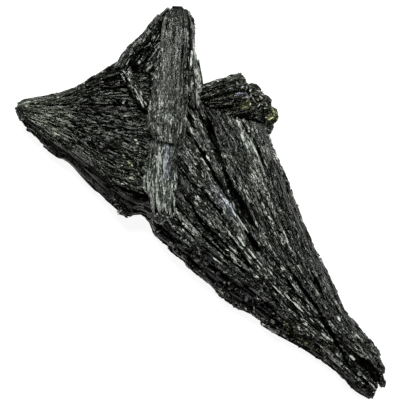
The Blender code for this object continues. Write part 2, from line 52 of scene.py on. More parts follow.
LEFT_FAN = {
    "outline_low": [
        (-36.5, 17.0, 4.2, 2.4), (-35.4, 15.7, 4.0, 2.0), (-32.2, 12.4, 3.8, 1.5),
        (-29.0, 9.3, 3.5, 1.2), (-26.8, 8.3, 3.6, 1.2), (-22.2, 4.0, 3.8, 1.2),
        (-18.2, 0.0, 4.2, 1.4), (-14.6, -2.8, 4.8, 1.8), (-13.0, -2.1, 5.0, 2.0),
        (-11.4, -2.4, 5.2, 2.0), (-9.2, -3.6, 5.4, 2.0), (-5.0, -4.0, 5.6, 2.0),
    ],
    "crease": [
        (-36.8, 17.8, 4.9, 2.2), (-35.0, 16.8, 5.4, 1.6), (-30.0, 13.6, 6.8, 0.8),
        (-25.6, 10.6, 8.0, 0.3), (-21.6, 7.4, 9.0, 0.1), (-17.6, 4.2, 9.8, 0.1),
        (-9.6, -0.6, 10.6, 0.6), (-4.0, -2.0, 10.8, 0.8),
    ],
    "middle": [
        (-36.9, 18.6, 5.4, 2.0), (-32.0, 17.8, 6.6, 1.2), (-25.0, 16.0, 7.8, 0.4),
        (-18.0, 13.4, 8.8, 0.2), (-7.4, 9.2, 10.2, 0.4), (-3.0, 7.6, 10.6, 0.8),
    ],
    "valley": [
        (-36.8, 19.4, 5.0, 2.4), (-31.0, 20.0, 6.2, 1.6), (-24.0, 21.2, 6.8, 1.2),
        (-17.0, 22.2, 7.2, 1.2), (-7.4, 22.4, 8.2, 1.6), (-3.6, 22.4, 8.6, 2.4),
    ],
    "outline_high": [
        (-36.3, 20.2, 4.4, 2.8), (-33.0, 20.8, 4.8, 2.4), (-30.0, 21.4, 5.0, 2.2),
        (-26.0, 22.7, 5.4, 2.2), (-23.0, 24.3, 5.8, 2.4), (-20.0, 26.1, 6.4, 2.8),
        (-16.4, 28.3, 7.0, 3.4), (-11.0, 31.0, 7.6, 4.0), (-7.0, 32.4, 8.0, 4.6),
    ],
}
# How far over the fan each guide lies, and how far inside the guides the fibres' skin lies.
LEFT_SHARES = (0.0, 0.22, 0.52, 0.8, 1.0)
SKIN_INSET = 0.25

# Shares of the way round a skin: over the top face first, then back along the underside.
TOP, UNDERSIDE, ALL_ROUND = (0.0, 0.49), (0.5, 0.98), (0.0, 1.0)
TOP_END = 0.48

# How many cross-sections a fibre has, and their corners in half widths: how far aside, and the
# level, from the buried foot at -1 to the top face at 1. A chip is a short broken blade.
BLADE = (5, ((-1.0, -1.0), (1.0, -1.0), (0.95, 0.4), (0.1, 1.0), (-0.95, 0.5)))
CHIP = (3, ((-0.9, -1.0), (0.9, -1.0), (0.85, 0.8), (-0.85, 0.85)))


def fibre_line(points, stations, readings=12):
    """A guide's points joined by one smooth curve, read at even steps of its length."""
    p = np.array(points, float)
    p = np.vstack([2 * p[0] - p[1], p, 2 * p[-1] - p[-2]])
    t = np.linspace(0, 1, readings, endpoint=False)[:, None]
    spans = [(2 * b + (c - a) * t + (2 * a - 5 * b + 4 * c - d) * t ** 2
              + (3 * b - 3 * c + d - a) * t ** 3) / 2
             for a, b, c, d in zip(p[:-3], p[1:-2], p[2:-1], p[3:])]
    curve = np.vstack(spans + [p[-2:-1]])
    steps = np.linalg.norm(np.diff(curve[:, :2], axis=0), axis=1)
    share = np.concatenate([[0.0], np.cumsum(steps)]) / steps.sum()
    even = np.linspace(0, 1, stations)
    return np.column_stack([np.interp(even, share, curve[:, i]) for i in range(4)])


RIM_LANES = 2


def fan_skin(guides, shares, stations, lanes):
    """A fan's whole skin as a grid of points. Lanes run over the top, round one rim, back
    underneath and round the other rim."""
    lines = np.array([fibre_line(guide, stations) for guide in guides.values()])
    v = np.linspace(0, 1, lanes)
    face = np.array([[np.interp(v, shares, lines[:, s, i]) for i in range(4)]
                     for s in range(stations)])
    over = face[:, (0, 1, 2)].transpose(0, 2, 1)
    below = face[:, (0, 1, 3)].transpose(0, 2, 1)[:, ::-1]
    steps = [k / (RIM_LANES + 1) for k in range(1, RIM_LANES + 1)]
    far = [over[:, -1:] + (below[:, :1] - over[:, -1:]) * k for k in steps]
    near = [below[:, -1:] + (over[:, :1] - below[:, -1:]) * k for k in steps]
    skin = np.concatenate([over, *far, below, *near], axis=1)
    return skin - outward(skin) * SKIN_INSET


def round_end(skin, share, least=0.3, end=False):
    """Draws a skin's first or last share in to a round end, which keeps a least girth."""
    s = np.linspace(0, 1, skin.shape[0])
    near_end = 1 - np.clip((1 - s if end else s) / share, 0, 1)
    girth = np.cbrt(np.clip(1 - near_end ** 3, least ** 3, 1))[:, None, None]
    middle = skin.mean(axis=1, keepdims=True)
    return middle + (skin - middle) * girth


def outward(skin):
    """The direction that points out of the stone at each point of a skin."""
    ahead = np.gradient(skin, axis=0)
    aside = np.roll(skin, -1, axis=1) - np.roll(skin, 1, axis=1)
    normal = np.cross(ahead, aside)
    normal /= np.linalg.norm(normal, axis=2, keepdims=True) + 1e-9
    middle = skin.mean(axis=1, keepdims=True)
    return normal * np.sign(((skin - middle) * normal).sum())


def read(grid, s, w):
    """A skin's value at the shares s along it and w round it."""
    rows, lanes = grid.shape[:2]
    a = np.clip(s, 0, 1) * (rows - 1)
    i = np.minimum(a.astype(int), rows - 2)
    f = (a - i)[..., None]
    b = (w % 1) * lanes
    j = b.astype(int) % lanes
    g = (b - np.floor(b))[..., None]
    k = (j + 1) % lanes
    return ((grid[i, j] * (1 - f) + grid[i + 1, j] * f) * (1 - g)
            + (grid[i, k] * (1 - f) + grid[i + 1, k] * f) * g)


# A growth is a skin, the random draws it is laid with, and the broad blades it splits into.
Growth = namedtuple("Growth", "skin rng blades")
BLADE_SPREAD = (0.4, 1.6)


def split_skin(skin, rng, count, height, breaks=3, gaps=0.0, depth=1.3, slim=(0.12, 0.4),
               shade=1.2):
    """Splits a skin into broad blades side by side all round it, broken across into lengths
    that stand proud or sink in, with gaps open beside some of them for part of the way, black
    with the bed's painted shade. Shade is how strongly the fibres of a sunken blade get painted
    shade and those of a proud one painted light."""
    starts = np.cumsum(rng.uniform(*BLADE_SPREAD, count))
    starts = np.append(0.0, starts) / starts[-1]
    opening = np.sort(rng.uniform(-0.5, 1.5, (count, 2)), axis=1)
    blades = {"starts": starts, "height": height, "depth": depth, "shade": shade,
              "slim": np.where(rng.random(count) < gaps, rng.uniform(*slim, count), 0.0),
              "opening": opening,
              "cuts": np.sort(rng.uniform(0.05, 0.95, (count, breaks)), axis=1),
              "levels": rng.uniform(-height, height, (count, breaks + 1))}
    return Growth(skin, rng, blades)


def blade_at(blades, s, w):
    """The blade at the shares s and w: its level there and the lanes it fills."""
    starts = blades["starts"]
    k = np.clip(np.searchsorted(starts, w % 1, side="right") - 1, 0, len(starts) - 2)
    level = blades["levels"][k, (s[..., None] > blades["cuts"][k]).sum(axis=-1)]
    low, high = starts[k], starts[k + 1]
    opened = (s > blades["opening"][k, 0]) & (s < blades["opening"][k, 1])
    return level, low, high - (high - low) * blades["slim"][k] * opened


# How fibres vary, in shares of their width: how much their ends narrow, how far they wander
# aside, how far their corners are off, how steeply their ends are broken, and their height.
NARROWING, WANDER, CHIPPING, BREAK_SLANT, HEIGHT_SHARE = 0.75, 0.06, 0.2, 1.6, 0.7
UNEVENNESS = (0.8, 1.2)
LONGEST_LEAN = 4.0

# A fibre's girth in widths, and how far apart fibres may lie in the pattern of the look, along
# and across, so that no two show the same part of it.
GIRTH = 2.4
PATTERN_LENGTH, PATTERN_WIDTH = 300, 90


def bars(growth, s, w, length, width, rise, roll, pitch, yaw, tone, sink, form, loose):
    """Fibres laid along a growth. All measures are arrays, one value for a fibre. Unless they
    are loose, none lies across a gap, and those of a sunken blade are lower and darker with
    painted shade, while those of a proud blade are lighter with painted light."""
    skin, rng, blades = growth
    count, (stations, section) = len(s), form
    level = np.zeros(count)
    if not loose:
        level, low, high = blade_at(blades, s, w)
        lane_width = np.linalg.norm(np.roll(skin, -1, axis=1) - skin, axis=2)[..., None]
        half = width / 2 / (read(lane_width, s, w)[:, 0] * skin.shape[1] + 1e-6)
        fit = np.minimum(half, (high - low) / 2)
        width, half = width * fit / half, fit
        w = np.clip(w % 1, low + half, high - half)
        # Painted shade and light: the tone falls as the blade sinks and rises as it stands proud.
        tone = tone + blades["shade"] * level / blades["height"]
    out_grid = outward(skin)
    run = np.linalg.norm(np.diff(skin, axis=0), axis=2).sum(axis=0)
    reach = length * np.cos(yaw) / np.interp(w % 1, np.arange(len(run)) / len(run), run)
    start = np.clip(s - reach / 2, 0.0, np.maximum(1.0 - reach, 0.0))
    t = np.linspace(0, 1, stations)
    along = start[:, None] + reach[:, None] * t
    lane = np.broadcast_to(w[:, None], along.shape)
    centre, out = read(skin, along, lane), read(out_grid, along, lane)
    ahead = np.gradient(centre, axis=1)
    ahead /= np.linalg.norm(ahead, axis=2, keepdims=True) + 1e-9
    side = np.cross(ahead, out)
    side /= np.linalg.norm(side, axis=2, keepdims=True) + 1e-9
    out = np.cross(side, ahead)

    lift = rise[:, None] + (pitch * np.minimum(length, LONGEST_LEAN))[:, None] * (t - 0.5)
    lift = lift + level[:, None]
    narrowing = rng.uniform(0.0, NARROWING, (count, 1))
    taper = 1 - narrowing * np.abs(2 * t - 1) ** rng.uniform(1.5, 5, (count, 1))
    half = width[:, None] / 2 * taper * rng.uniform(*UNEVENNESS, (count, stations))
    drift = rng.normal(0, WANDER, (count, stations)) * width[:, None]
    drift = (drift + (np.sin(yaw) * length)[:, None] * (t - 0.5))[..., None]
    corners = np.array(section) + rng.uniform(-CHIPPING, CHIPPING, (count, 1, len(section), 2))
    aside = corners[..., 0] * half[..., None]
    up = corners[..., 1] * half[..., None] * HEIGHT_SHARE
    up = np.where(corners[..., 1] < -0.5, -sink, up)
    cos, sin = np.cos(roll)[:, None, None], np.sin(roll)[:, None, None]
    aside, up = aside * cos - up * sin, aside * sin + up * cos
    at_end = (t == 0) | (t == 1)
    slant = rng.uniform(-BREAK_SLANT, BREAK_SLANT, (count, stations, 1)) * at_end[:, None]
    points = (centre + side * drift)[:, :, None] + side[:, :, None] * aside[..., None]
    points = points + out[:, :, None] * (up + lift[..., None])[..., None]
    points = points + ahead[:, :, None] * (aside * slant)[..., None]

    girth = np.arange(len(section)) / len(section)
    u = length[:, None] * t + rng.uniform(0, PATTERN_LENGTH, (count, 1))
    u = u[..., None] + 0 * girth
    v = width[:, None, None] * GIRTH * girth + rng.uniform(0, PATTERN_WIDTH, (count, 1, 1))
    v = v + 0 * t[:, None]
    return {"points": points, "uv": np.stack([u, v], -1), "tone": tone}


# A fibre is no narrower or wider than these shares of its draw where the lanes crowd together
# or spread, and no piece turns further aside than STEEPEST, in radians.
CROWDED, SPREAD_OUT, CROWDING = 0.35, 1.2, 0.6
STEEPEST = 1.4
CRUST_SPREAD = (0.2, 1.4)


def lay_fibres(growth, count, lanes, reach=(0.0, 1.0), width=(0.3, 0.6), length=(3.0, 9.0),
               rise=(-0.15, 0.25), roll=0.25, pitch=0.06, yaw=0.03, tone=(0.0, 0.3), sink=0.6,
               form=BLADE, loose=False, crust=0.0):
    """Many blades at random over part of a growth, evenly by its area. Width, length and rise
    are ranges, tone is a middle and a spread, roll, pitch and yaw are spreads."""
    skin, rng, _ = growth
    rows, around = skin.shape[:2]
    ahead, aside = np.gradient(skin, axis=0), np.roll(skin, -1, axis=1) - skin
    spread = np.linalg.norm(aside, axis=2)
    area = np.linalg.norm(ahead, axis=2) * spread
    shares_s = np.linspace(0, 1, rows)[:, None]
    shares_w = (np.arange(around) / around)[None, :]
    low, high = lanes
    inside = (shares_w - low) % 1 <= (high - low)
    area = area * (shares_s >= reach[0]) * (shares_s <= reach[1]) * inside
    pick = rng.choice(rows * around, count, p=(area / area.sum()).ravel())
    s = (pick // around + rng.random(count)) / rows
    w = (pick % around + rng.random(count)) / around
    crowding = spread.ravel()[pick] / np.median(spread[area > 0])
    crowding = np.clip(crowding, CROWDED, SPREAD_OUT) ** CROWDING
    made = bars(growth, s, w, rng.uniform(*length, count), rng.uniform(*width, count) * crowding,
                rng.uniform(*rise, count), rng.normal(0, roll, count), rng.normal(0, pitch, count),
                np.clip(rng.normal(0, yaw, count), -STEEPEST, STEEPEST),
                rng.normal(*tone, count), sink, form, loose)
    return {**made, "crust": crust * rng.uniform(*CRUST_SPREAD, (count, 1))}


CHIP_LOOK = {"width": (0.18, 0.5), "length": (0.5, 2.4), "rise": (-0.2, 0.15), "roll": 0.45,
             "pitch": 0.16, "yaw": 0.16, "tone": (0.1, 0.7), "sink": 0.45, "form": CHIP}


def lay_chips(growth, count, lanes, **look):
    """Short broken pieces over part of a growth, less orderly than its long fibres."""
    return lay_fibres(growth, count, lanes, **{**CHIP_LOOK, **look})


def set_blades(growth, places, sink=0.7):
    """Single blades at chosen places on a growth's top: x, y, length, width, rise, roll, tone."""
    skin = growth.skin
    table = np.array(places, float)
    top = skin[:, :int(skin.shape[1] * TOP_END)]
    s, w = np.zeros(len(table)), np.zeros(len(table))
    for k, (x, y) in enumerate(table[:, :2]):
        gap = np.hypot(top[..., 0] - x, top[..., 1] - y)
        row, lane = np.unravel_index(gap.argmin(), gap.shape)
        s[k], w[k] = row / (skin.shape[0] - 1), lane / skin.shape[1]
    length, width, rise, roll, tone = table[:, 2:].T
    return bars(growth, s, w, length, width, rise, roll, 0 * s, 0 * s, tone, sink, BLADE, True)


BED_GRAIN = 0.08
FACE_CLEARANCE = 0.4


def bed(growth, depth, tone=-1.5, flat=True):
    """The fused stone under the single fibres, stepped as its broad blades are and open to the
    bottom of their gaps. Its dark tone is painted shade, for the fibres over it and the depth
    of the gaps. In a flat fan it keeps clear of the other face."""
    skin, rng, blades = growth
    rows, around = skin.shape[:2]
    s = np.broadcast_to(np.linspace(0, 1, rows)[:, None], (rows, around))
    w = np.broadcast_to((np.arange(around) / around)[None, :], (rows, around))
    level, low, high = blade_at(blades, s, w)
    level = np.where(w > high, -blades["depth"], level)
    lift = level - depth + rng.uniform(-BED_GRAIN, BED_GRAIN, (rows, around))
    if flat:
        other_face = skin[:, (around - 1 - RIM_LANES - np.arange(around)) % around]
        lift = np.maximum(lift, -FACE_CLEARANCE * np.linalg.norm(other_face - skin, axis=2))
    points = skin + outward(skin) * lift[..., None]
    run = np.linalg.norm(np.diff(skin, axis=0), axis=2).sum(axis=0).mean()
    girth = np.linalg.norm(np.roll(skin, -1, axis=1) - skin, axis=2).sum(axis=1).max()
    uv = np.stack([s * run, w * girth], -1)
    return {"points": points[None], "uv": uv[None], "tone": np.array([tone]), "deep": True}


def tube_faces(rows, around):
    """Faces of one closed tube, from ring to ring, with a face over each end."""
    row, lane = np.meshgrid(np.arange(rows - 1), np.arange(around), indexing="ij")
    a, b = row * around + lane, row * around + (lane + 1) % around
    walls = np.stack([a, b, b + around, a + around], -1).reshape(-1, 4)
    last = (rows - 1) * around
    return walls, np.arange(around)[::-1], np.arange(last, last + around)


def distance_to(points, path):
    """How far points lie from a path in the plane, and the path's last measure nearest each."""
    path = np.array(path, float)
    best, width = np.full(points.shape[:-1], np.inf), np.zeros(points.shape[:-1])
    for start, end in zip(path[:-1], path[1:]):
        run = end[:2] - start[:2]
        share = np.clip(((points[..., :2] - start[:2]) @ run) / max(run @ run, 1e-9), 0, 1)
        gap = np.linalg.norm(points[..., :2] - start[:2] - share[..., None] * run, axis=-1)
        here = start[-1] + (end[-1] - start[-1]) * share
        width = np.where(gap < best, here, width)
        best = np.minimum(best, gap)
    return best, width


FLOOR_SHARE = 0.55


def carve(points, path, floor):
    """Presses points down into a groove: its path is x, y and width, its floor a height. The
    floor takes up a share of the width, and the walls slope from there."""
    gap, width = distance_to(points, path)
    height = points[..., 2]
    wall = np.clip((gap / (width / 2) - FLOOR_SHARE) / (1 - FLOOR_SHARE), 0, 1)
    pressed = np.minimum(height, floor + (height - floor) * wall)
    height = np.where((gap < width / 2) & (height > floor), pressed, height)
    return np.concatenate([points[..., :2], height[..., None]], -1)


def make_piece(name, sets, material, patches=(), grooves=()):
    """One mesh of all the fibres in the sets. Patches change the tone, painted sheen or crust of
    what is near their paths: each is a radius, a strength and points. Tone patches are mostly
    painted light and shade, lighter where a face catches the lamps and darker in hollows and on
    faces turned from them; the sheen is a painted violet-blue sheen; the crust is the stone's own
    colour. The piece takes the place of the cluster's solid and rides with it."""
    verts, faces, uvs, deep = [], [], [], []
    marks = {"tone": [], "lilac": [], "crust": []}
    base = 0
    for group in sets:
        points, uv, tone = group["points"], group["uv"], group["tone"]
        count, rows, around = points.shape[:3]
        walls, first, last = tube_faces(rows, around)
        flat = points.reshape(count, -1, 3).copy()
        at = flat if count == 1 else flat.mean(axis=1, keepdims=True)
        marked = {"tone": np.repeat(tone[:, None], rows * around, axis=1),
                  "lilac": np.zeros((count, rows * around)),
                  "crust": np.zeros((count, rows * around)) + group.get("crust", 0.0)}
        for kind, spots in dict(patches).items():
            for radius, strength, *trail in spots:
                gap, _ = distance_to(at, trail)
                marked[kind] = marked[kind] + strength * np.exp(-(gap / radius) ** 2)
        for trail, floor in grooves:
            flat = carve(flat, trail, floor)
        flat[..., 2] = np.maximum(flat[..., 2], LOWEST)
        size = rows * around
        offsets = base + size * np.arange(count)[:, None, None]
        faces += (walls[None] + offsets).reshape(-1, 4).tolist()
        faces += (first[None] + offsets[..., 0]).tolist() + (last[None] + offsets[..., 0]).tolist()
        deep += [int("deep" in group)] * (count * (len(walls) + 2))
        verts.append(flat.reshape(-1, 3))
        uvs.append(uv.reshape(-1, 2))
        for kind, values in marked.items():
            marks[kind].append(values.ravel())
        base += size * count
    mesh = bpy.data.meshes.new(name)
    mesh.from_pydata(((np.vstack(verts) + TO_CENTRE) * MM).tolist(), [], faces)
    corner = np.zeros(len(mesh.loops), int)
    mesh.loops.foreach_get("vertex_index", corner)
    layer = mesh.uv_layers.new(name="fibre")
    layer.data.foreach_set("uv", np.vstack(uvs)[corner].astype(np.float32).ravel())
    for kind, values in marks.items():
        mark = mesh.attributes.new(kind, "FLOAT", "POINT")
        mark.data.foreach_set("value", np.concatenate(values).astype(np.float32))
    mesh.materials.append(material)
    # Painted shade: the beds' faces take the dark, dull gap finish.
    if any(deep):
        mesh.materials.append(GAP_SHADE_KYANITE)
        mesh.polygons.foreach_set("material_index", deep)
    piece = bpy.data.objects.new(name, mesh)
    bpy.context.scene.collection.objects.link(piece)
    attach(piece, "root")
    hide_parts("black_kyanite")


def add_node(tree, kind, feeds=None, **settings):
    """A shader node with its settings, and its sockets fed by values or other sockets."""
    made = tree.nodes.new(kind)
    for key, value in settings.items():
        setattr(made, key, value)
    for socket, source in (feeds or {}).items():
        if isinstance(source, bpy.types.NodeSocket):
            tree.links.new(source, made.inputs[socket])
        else:
            made.inputs[socket].default_value = source
    return made


def colour_steps(tree, source, stops):
    """A colour ramp from (place, colour) stops."""
    ramp = add_node(tree, "ShaderNodeValToRGB", {"Fac": source})
    elements = ramp.color_ramp.elements
    for k, (place, colour) in enumerate(stops):
        element = elements[k] if k < 2 else elements.new(place)
        element.position = place
        element.color = (*colour, 1.0)
    return ramp.outputs["Color"]


# The noises' sizes are counts in a millimetre along and across a fibre; grain and clouds are
# counts in a metre. A tone's step is how far one more of it moves along the colour stops.
BROAD_STREAKS, FINE_STREAKS, FACET_SIZE = (0.5, 3.6), (1.4, 9.0), (1.6, 4.5)
GRAIN_SIZE, CLOUD_SIZE = 2600.0, 420.0
MIDDLE_TONE, TONE_STEP, FACET_STEP = 0.44, 0.2, 0.3
SMOOTHEST, ROUGHEST, CRUST_ROUGHNESS = 0.15, 0.37, 0.85
# Painted sheen: the violet-blue tint laid on plates as if they caught the light.
PAINTED_LILAC_SHEEN = (0.95, 0.93, 1.35, 1.0)
STONE_STOPS = [(0.0, (0.00017, 0.0002, 0.00015)), (1.0, (0.485, 0.52, 0.465)),
               (0.25, (0.00076, 0.0009, 0.00068)), (0.5, (0.0061, 0.0072, 0.0052)),
               (0.75, (0.055, 0.061, 0.050))]
CRUST_STOPS = [(0.2, (0.010, 0.011, 0.005)), (0.85, (0.62, 0.64, 0.36)),
               (0.5, (0.10, 0.108, 0.040))]


def fibre_stone():
    """The look of kyanite's surface: colour, roughness, relief and small facets that run along
    its fibres."""
    group = bpy.data.node_groups.new("kyanite_fibres", "ShaderNodeTree")
    for way, kind, names in (("INPUT", "Float", "Tone Lilac Crust Streaks Grain Facets Polish"),
                             ("INPUT", "Color", "Tint"), ("OUTPUT", "Color", "Colour"),
                             ("OUTPUT", "Float", "Roughness Height"),
                             ("OUTPUT", "Vector", "Normal")):
        for name in names.split():
            group.interface.new_socket(name, in_out=way, socket_type=f"NodeSocket{kind}")
    given = add_node(group, "NodeGroupInput").outputs
    fibre = add_node(group, "ShaderNodeUVMap", uv_map="fibre").outputs["UV"]
    place = add_node(group, "ShaderNodeTexCoord").outputs["Object"]

    def vectors(operation, a, b=(0.0, 0.0, 0.0)):
        return add_node(group, "ShaderNodeVectorMath", {0: a, 1: b},
                        operation=operation).outputs[0]

    def along_fibres(size):
        return vectors("MULTIPLY", fibre, (*size, 1.0))

    def noise(vector, scale, detail):
        return add_node(group, "ShaderNodeTexNoise",
                        {"Vector": vector, "Scale": scale, "Detail": detail}).outputs["Fac"]

    def maths(operation, a, b):
        return add_node(group, "ShaderNodeMath", {0: a, 1: b}, operation=operation).outputs[0]

    def blend(kind, factor, a, b):
        return add_node(group, "ShaderNodeMix", {0: factor, 6: a, 7: b}, data_type="RGBA",
                        blend_type=kind).outputs[2]

    def ramp(value, low, high, to_low=0.0, to_high=1.0):
        return add_node(group, "ShaderNodeMapRange",
                        {"Value": value, "From Min": low, "From Max": high, "To Min": to_low,
                         "To Max": to_high}).outputs["Result"]

    broad = noise(along_fibres(BROAD_STREAKS), 1.0, 2.0)
    fine = noise(along_fibres(FINE_STREAKS), 1.0, 3.0)
    grain = noise(place, GRAIN_SIZE, 3.0)
    cloud = noise(place, CLOUD_SIZE, 4.0)
    facet = add_node(group, "ShaderNodeTexVoronoi",
                     {"Vector": along_fibres(FACET_SIZE), "Scale": 1.0}).outputs["Color"]
    shade = add_node(group, "ShaderNodeSeparateColor", {0: facet}).outputs["Blue"]

    streaks = maths("SUBTRACT", maths("ADD", broad, fine), 1.0)
    streaks = maths("MULTIPLY", streaks, given["Streaks"])
    grains = maths("SUBTRACT", maths("ADD", grain, cloud), 1.0)
    grains = maths("MULTIPLY", grains, given["Grain"])
    patchy = maths("MULTIPLY", maths("SUBTRACT", shade, 0.5), FACET_STEP)
    value = maths("ADD", maths("MULTIPLY", given["Tone"], TONE_STEP), MIDDLE_TONE)
    value = maths("ADD", value, maths("ADD", maths("ADD", streaks, grains), patchy))
    stone = colour_steps(group, value, STONE_STOPS)
    stone = blend("MULTIPLY", 1.0, stone, given["Tint"])
    # Painted sheen: where a patch asks for it, the stone's colour is tinted violet-blue.
    sheen = maths("MINIMUM", maths("MULTIPLY", given["Lilac"], maths("ADD", cloud, 0.4)), 1.0)
    stone = blend("MULTIPLY", sheen, stone, PAINTED_LILAC_SHEEN)
    scab = ramp(maths("MULTIPLY", given["Crust"], maths("ADD", grain, cloud)), 0.4, 0.7)
    colour = blend("MIX", scab, stone, colour_steps(group, value, CRUST_STOPS))
    rough = ramp(maths("ADD", fine, grain), 0.7, 1.3, SMOOTHEST, ROUGHEST)
    rough = maths("MULTIPLY", rough, maths("SUBTRACT", 1.0, given["Polish"]))
    rough = maths("MAXIMUM", rough, maths("MULTIPLY", scab, CRUST_ROUGHNESS))
    height = maths("ADD", maths("MULTIPLY", maths("ADD", broad, fine), 0.5),
                   maths("MULTIPLY", grain, 0.5))
    tilt = add_node(group, "ShaderNodeVectorMath",
                    {0: vectors("SUBTRACT", facet, (0.5, 0.5, 0.5)), "Scale": given["Facets"]},
                    operation="SCALE").outputs[0]
    face = add_node(group, "ShaderNodeNewGeometry").outputs["Normal"]
    face = vectors("NORMALIZE", vectors("ADD", face, tilt))
    add_node(group, "NodeGroupOutput", {"Colour": colour, "Roughness": rough, "Height": height,
                                        "Normal": face})
    return group


KYANITE_FIBRES = fibre_stone()
KYANITE_IOR = 1.72
RELIEF_STRENGTH = 0.8


def kyanite(name, streaks=1.9, grain=0.6, relief=0.00015, facets=0.4, polish=0.0, shine=0.3,
            tint=(1.0, 1.0, 1.0), gleam=(0.955, 1.0, 0.935)):
    """Kyanite with its own strength of streaks, grain, relief, facets and shine. Its gleam is
    the colour of what it reflects."""
    material = bpy.data.materials.new(name)
    material.use_nodes = True
    tree = material.node_tree
    shader = tree.nodes["Principled BSDF"]
    shader.inputs["IOR"].default_value = KYANITE_IOR
    shader.inputs["Specular IOR Level"].default_value = shine
    shader.inputs["Specular Tint"].default_value = (*gleam, 1.0)
    feeds = {mark.title(): add_node(tree, "ShaderNodeAttribute",
                                    attribute_name=mark).outputs["Fac"]
             for mark in ("tone", "lilac", "crust")}
    feeds.update({"Streaks": streaks, "Grain": grain, "Facets": facets, "Polish": polish,
                  "Tint": (*tint, 1.0)})
    fibres = add_node(tree, "ShaderNodeGroup", feeds, node_tree=KYANITE_FIBRES)
    bump = add_node(tree, "ShaderNodeBump", {"Height": fibres.outputs["Height"],
                                             "Normal": fibres.outputs["Normal"],
                                             "Strength": RELIEF_STRENGTH,
                                             "Distance": relief})
    tree.links.new(fibres.outputs["Colour"], shader.inputs["Base Color"])
    tree.links.new(fibres.outputs["Roughness"], shader.inputs["Roughness"])
    tree.links.new(bump.outputs["Normal"], shader.inputs["Normal"])
    return material


# Painted shade: a finish that hardly reflects, for the beds, so the gaps read as deep shade.
GAP_SHADE_KYANITE = kyanite("deep_kyanite", shine=0.05)


def knot_skin(centre, halves, rng, rows=22, lanes=20):
    """A rounded knot's skin, its fibres from one end to the other, with three broad lumps and
    five smaller ones round it."""
    turn = np.pi * np.linspace(0.03, 0.97, rows)[:, None]
    angle = 2 * np.pi * np.arange(lanes)[None, :] / lanes
    lump = 1 + 0.1 * np.sin(angle * 3 + turn * 4 + rng.uniform(0, 6))
    lump = lump + 0.08 * np.sin(angle * 5 - turn * 3)
    unit = np.stack([np.cos(turn) + 0 * angle, np.sin(turn) * np.cos(angle) * lump,
                     np.sin(turn) * np.sin(angle) * lump], axis=-1)
    return np.array(centre) + unit * np.array(halves)


def knots(places, rng, chips, **look):
    """Knots of short crystals, each given by its centre and three half sizes: a bed darkened with
    painted shade, with broken pieces all over it."""
    sets = []
    for place in places:
        growth = split_skin(knot_skin(place[:3], place[3:], rng), rng, count=9, height=0.1)
        sets += [bed(growth, depth=0.2, tone=-1.0, flat=False),
                 lay_chips(growth, chips, ALL_ROUND, sink=0.3, rise=(-0.25, 0.0), **look)]
    return sets


rng = np.random.default_rng(11)
left_skin = fan_skin(LEFT_FAN, LEFT_SHARES, stations=100, lanes=80)
left_skin = round_end(left_skin, share=0.04, least=0.55)
left = split_skin(left_skin, rng, count=90, height=0.25, breaks=8, gaps=0.4, slim=(0.2, 0.45),
                  shade=0.9)
LEFT_KNOTS = ((-35.4, 18.2, 4.1, 1.4, 1.9, 1.3), (-14.8, -1.4, 4.6, 1.8, 1.3, 1.6),
              (-16.4, 0.7, 5.4, 1.5, 1.2, 1.4))
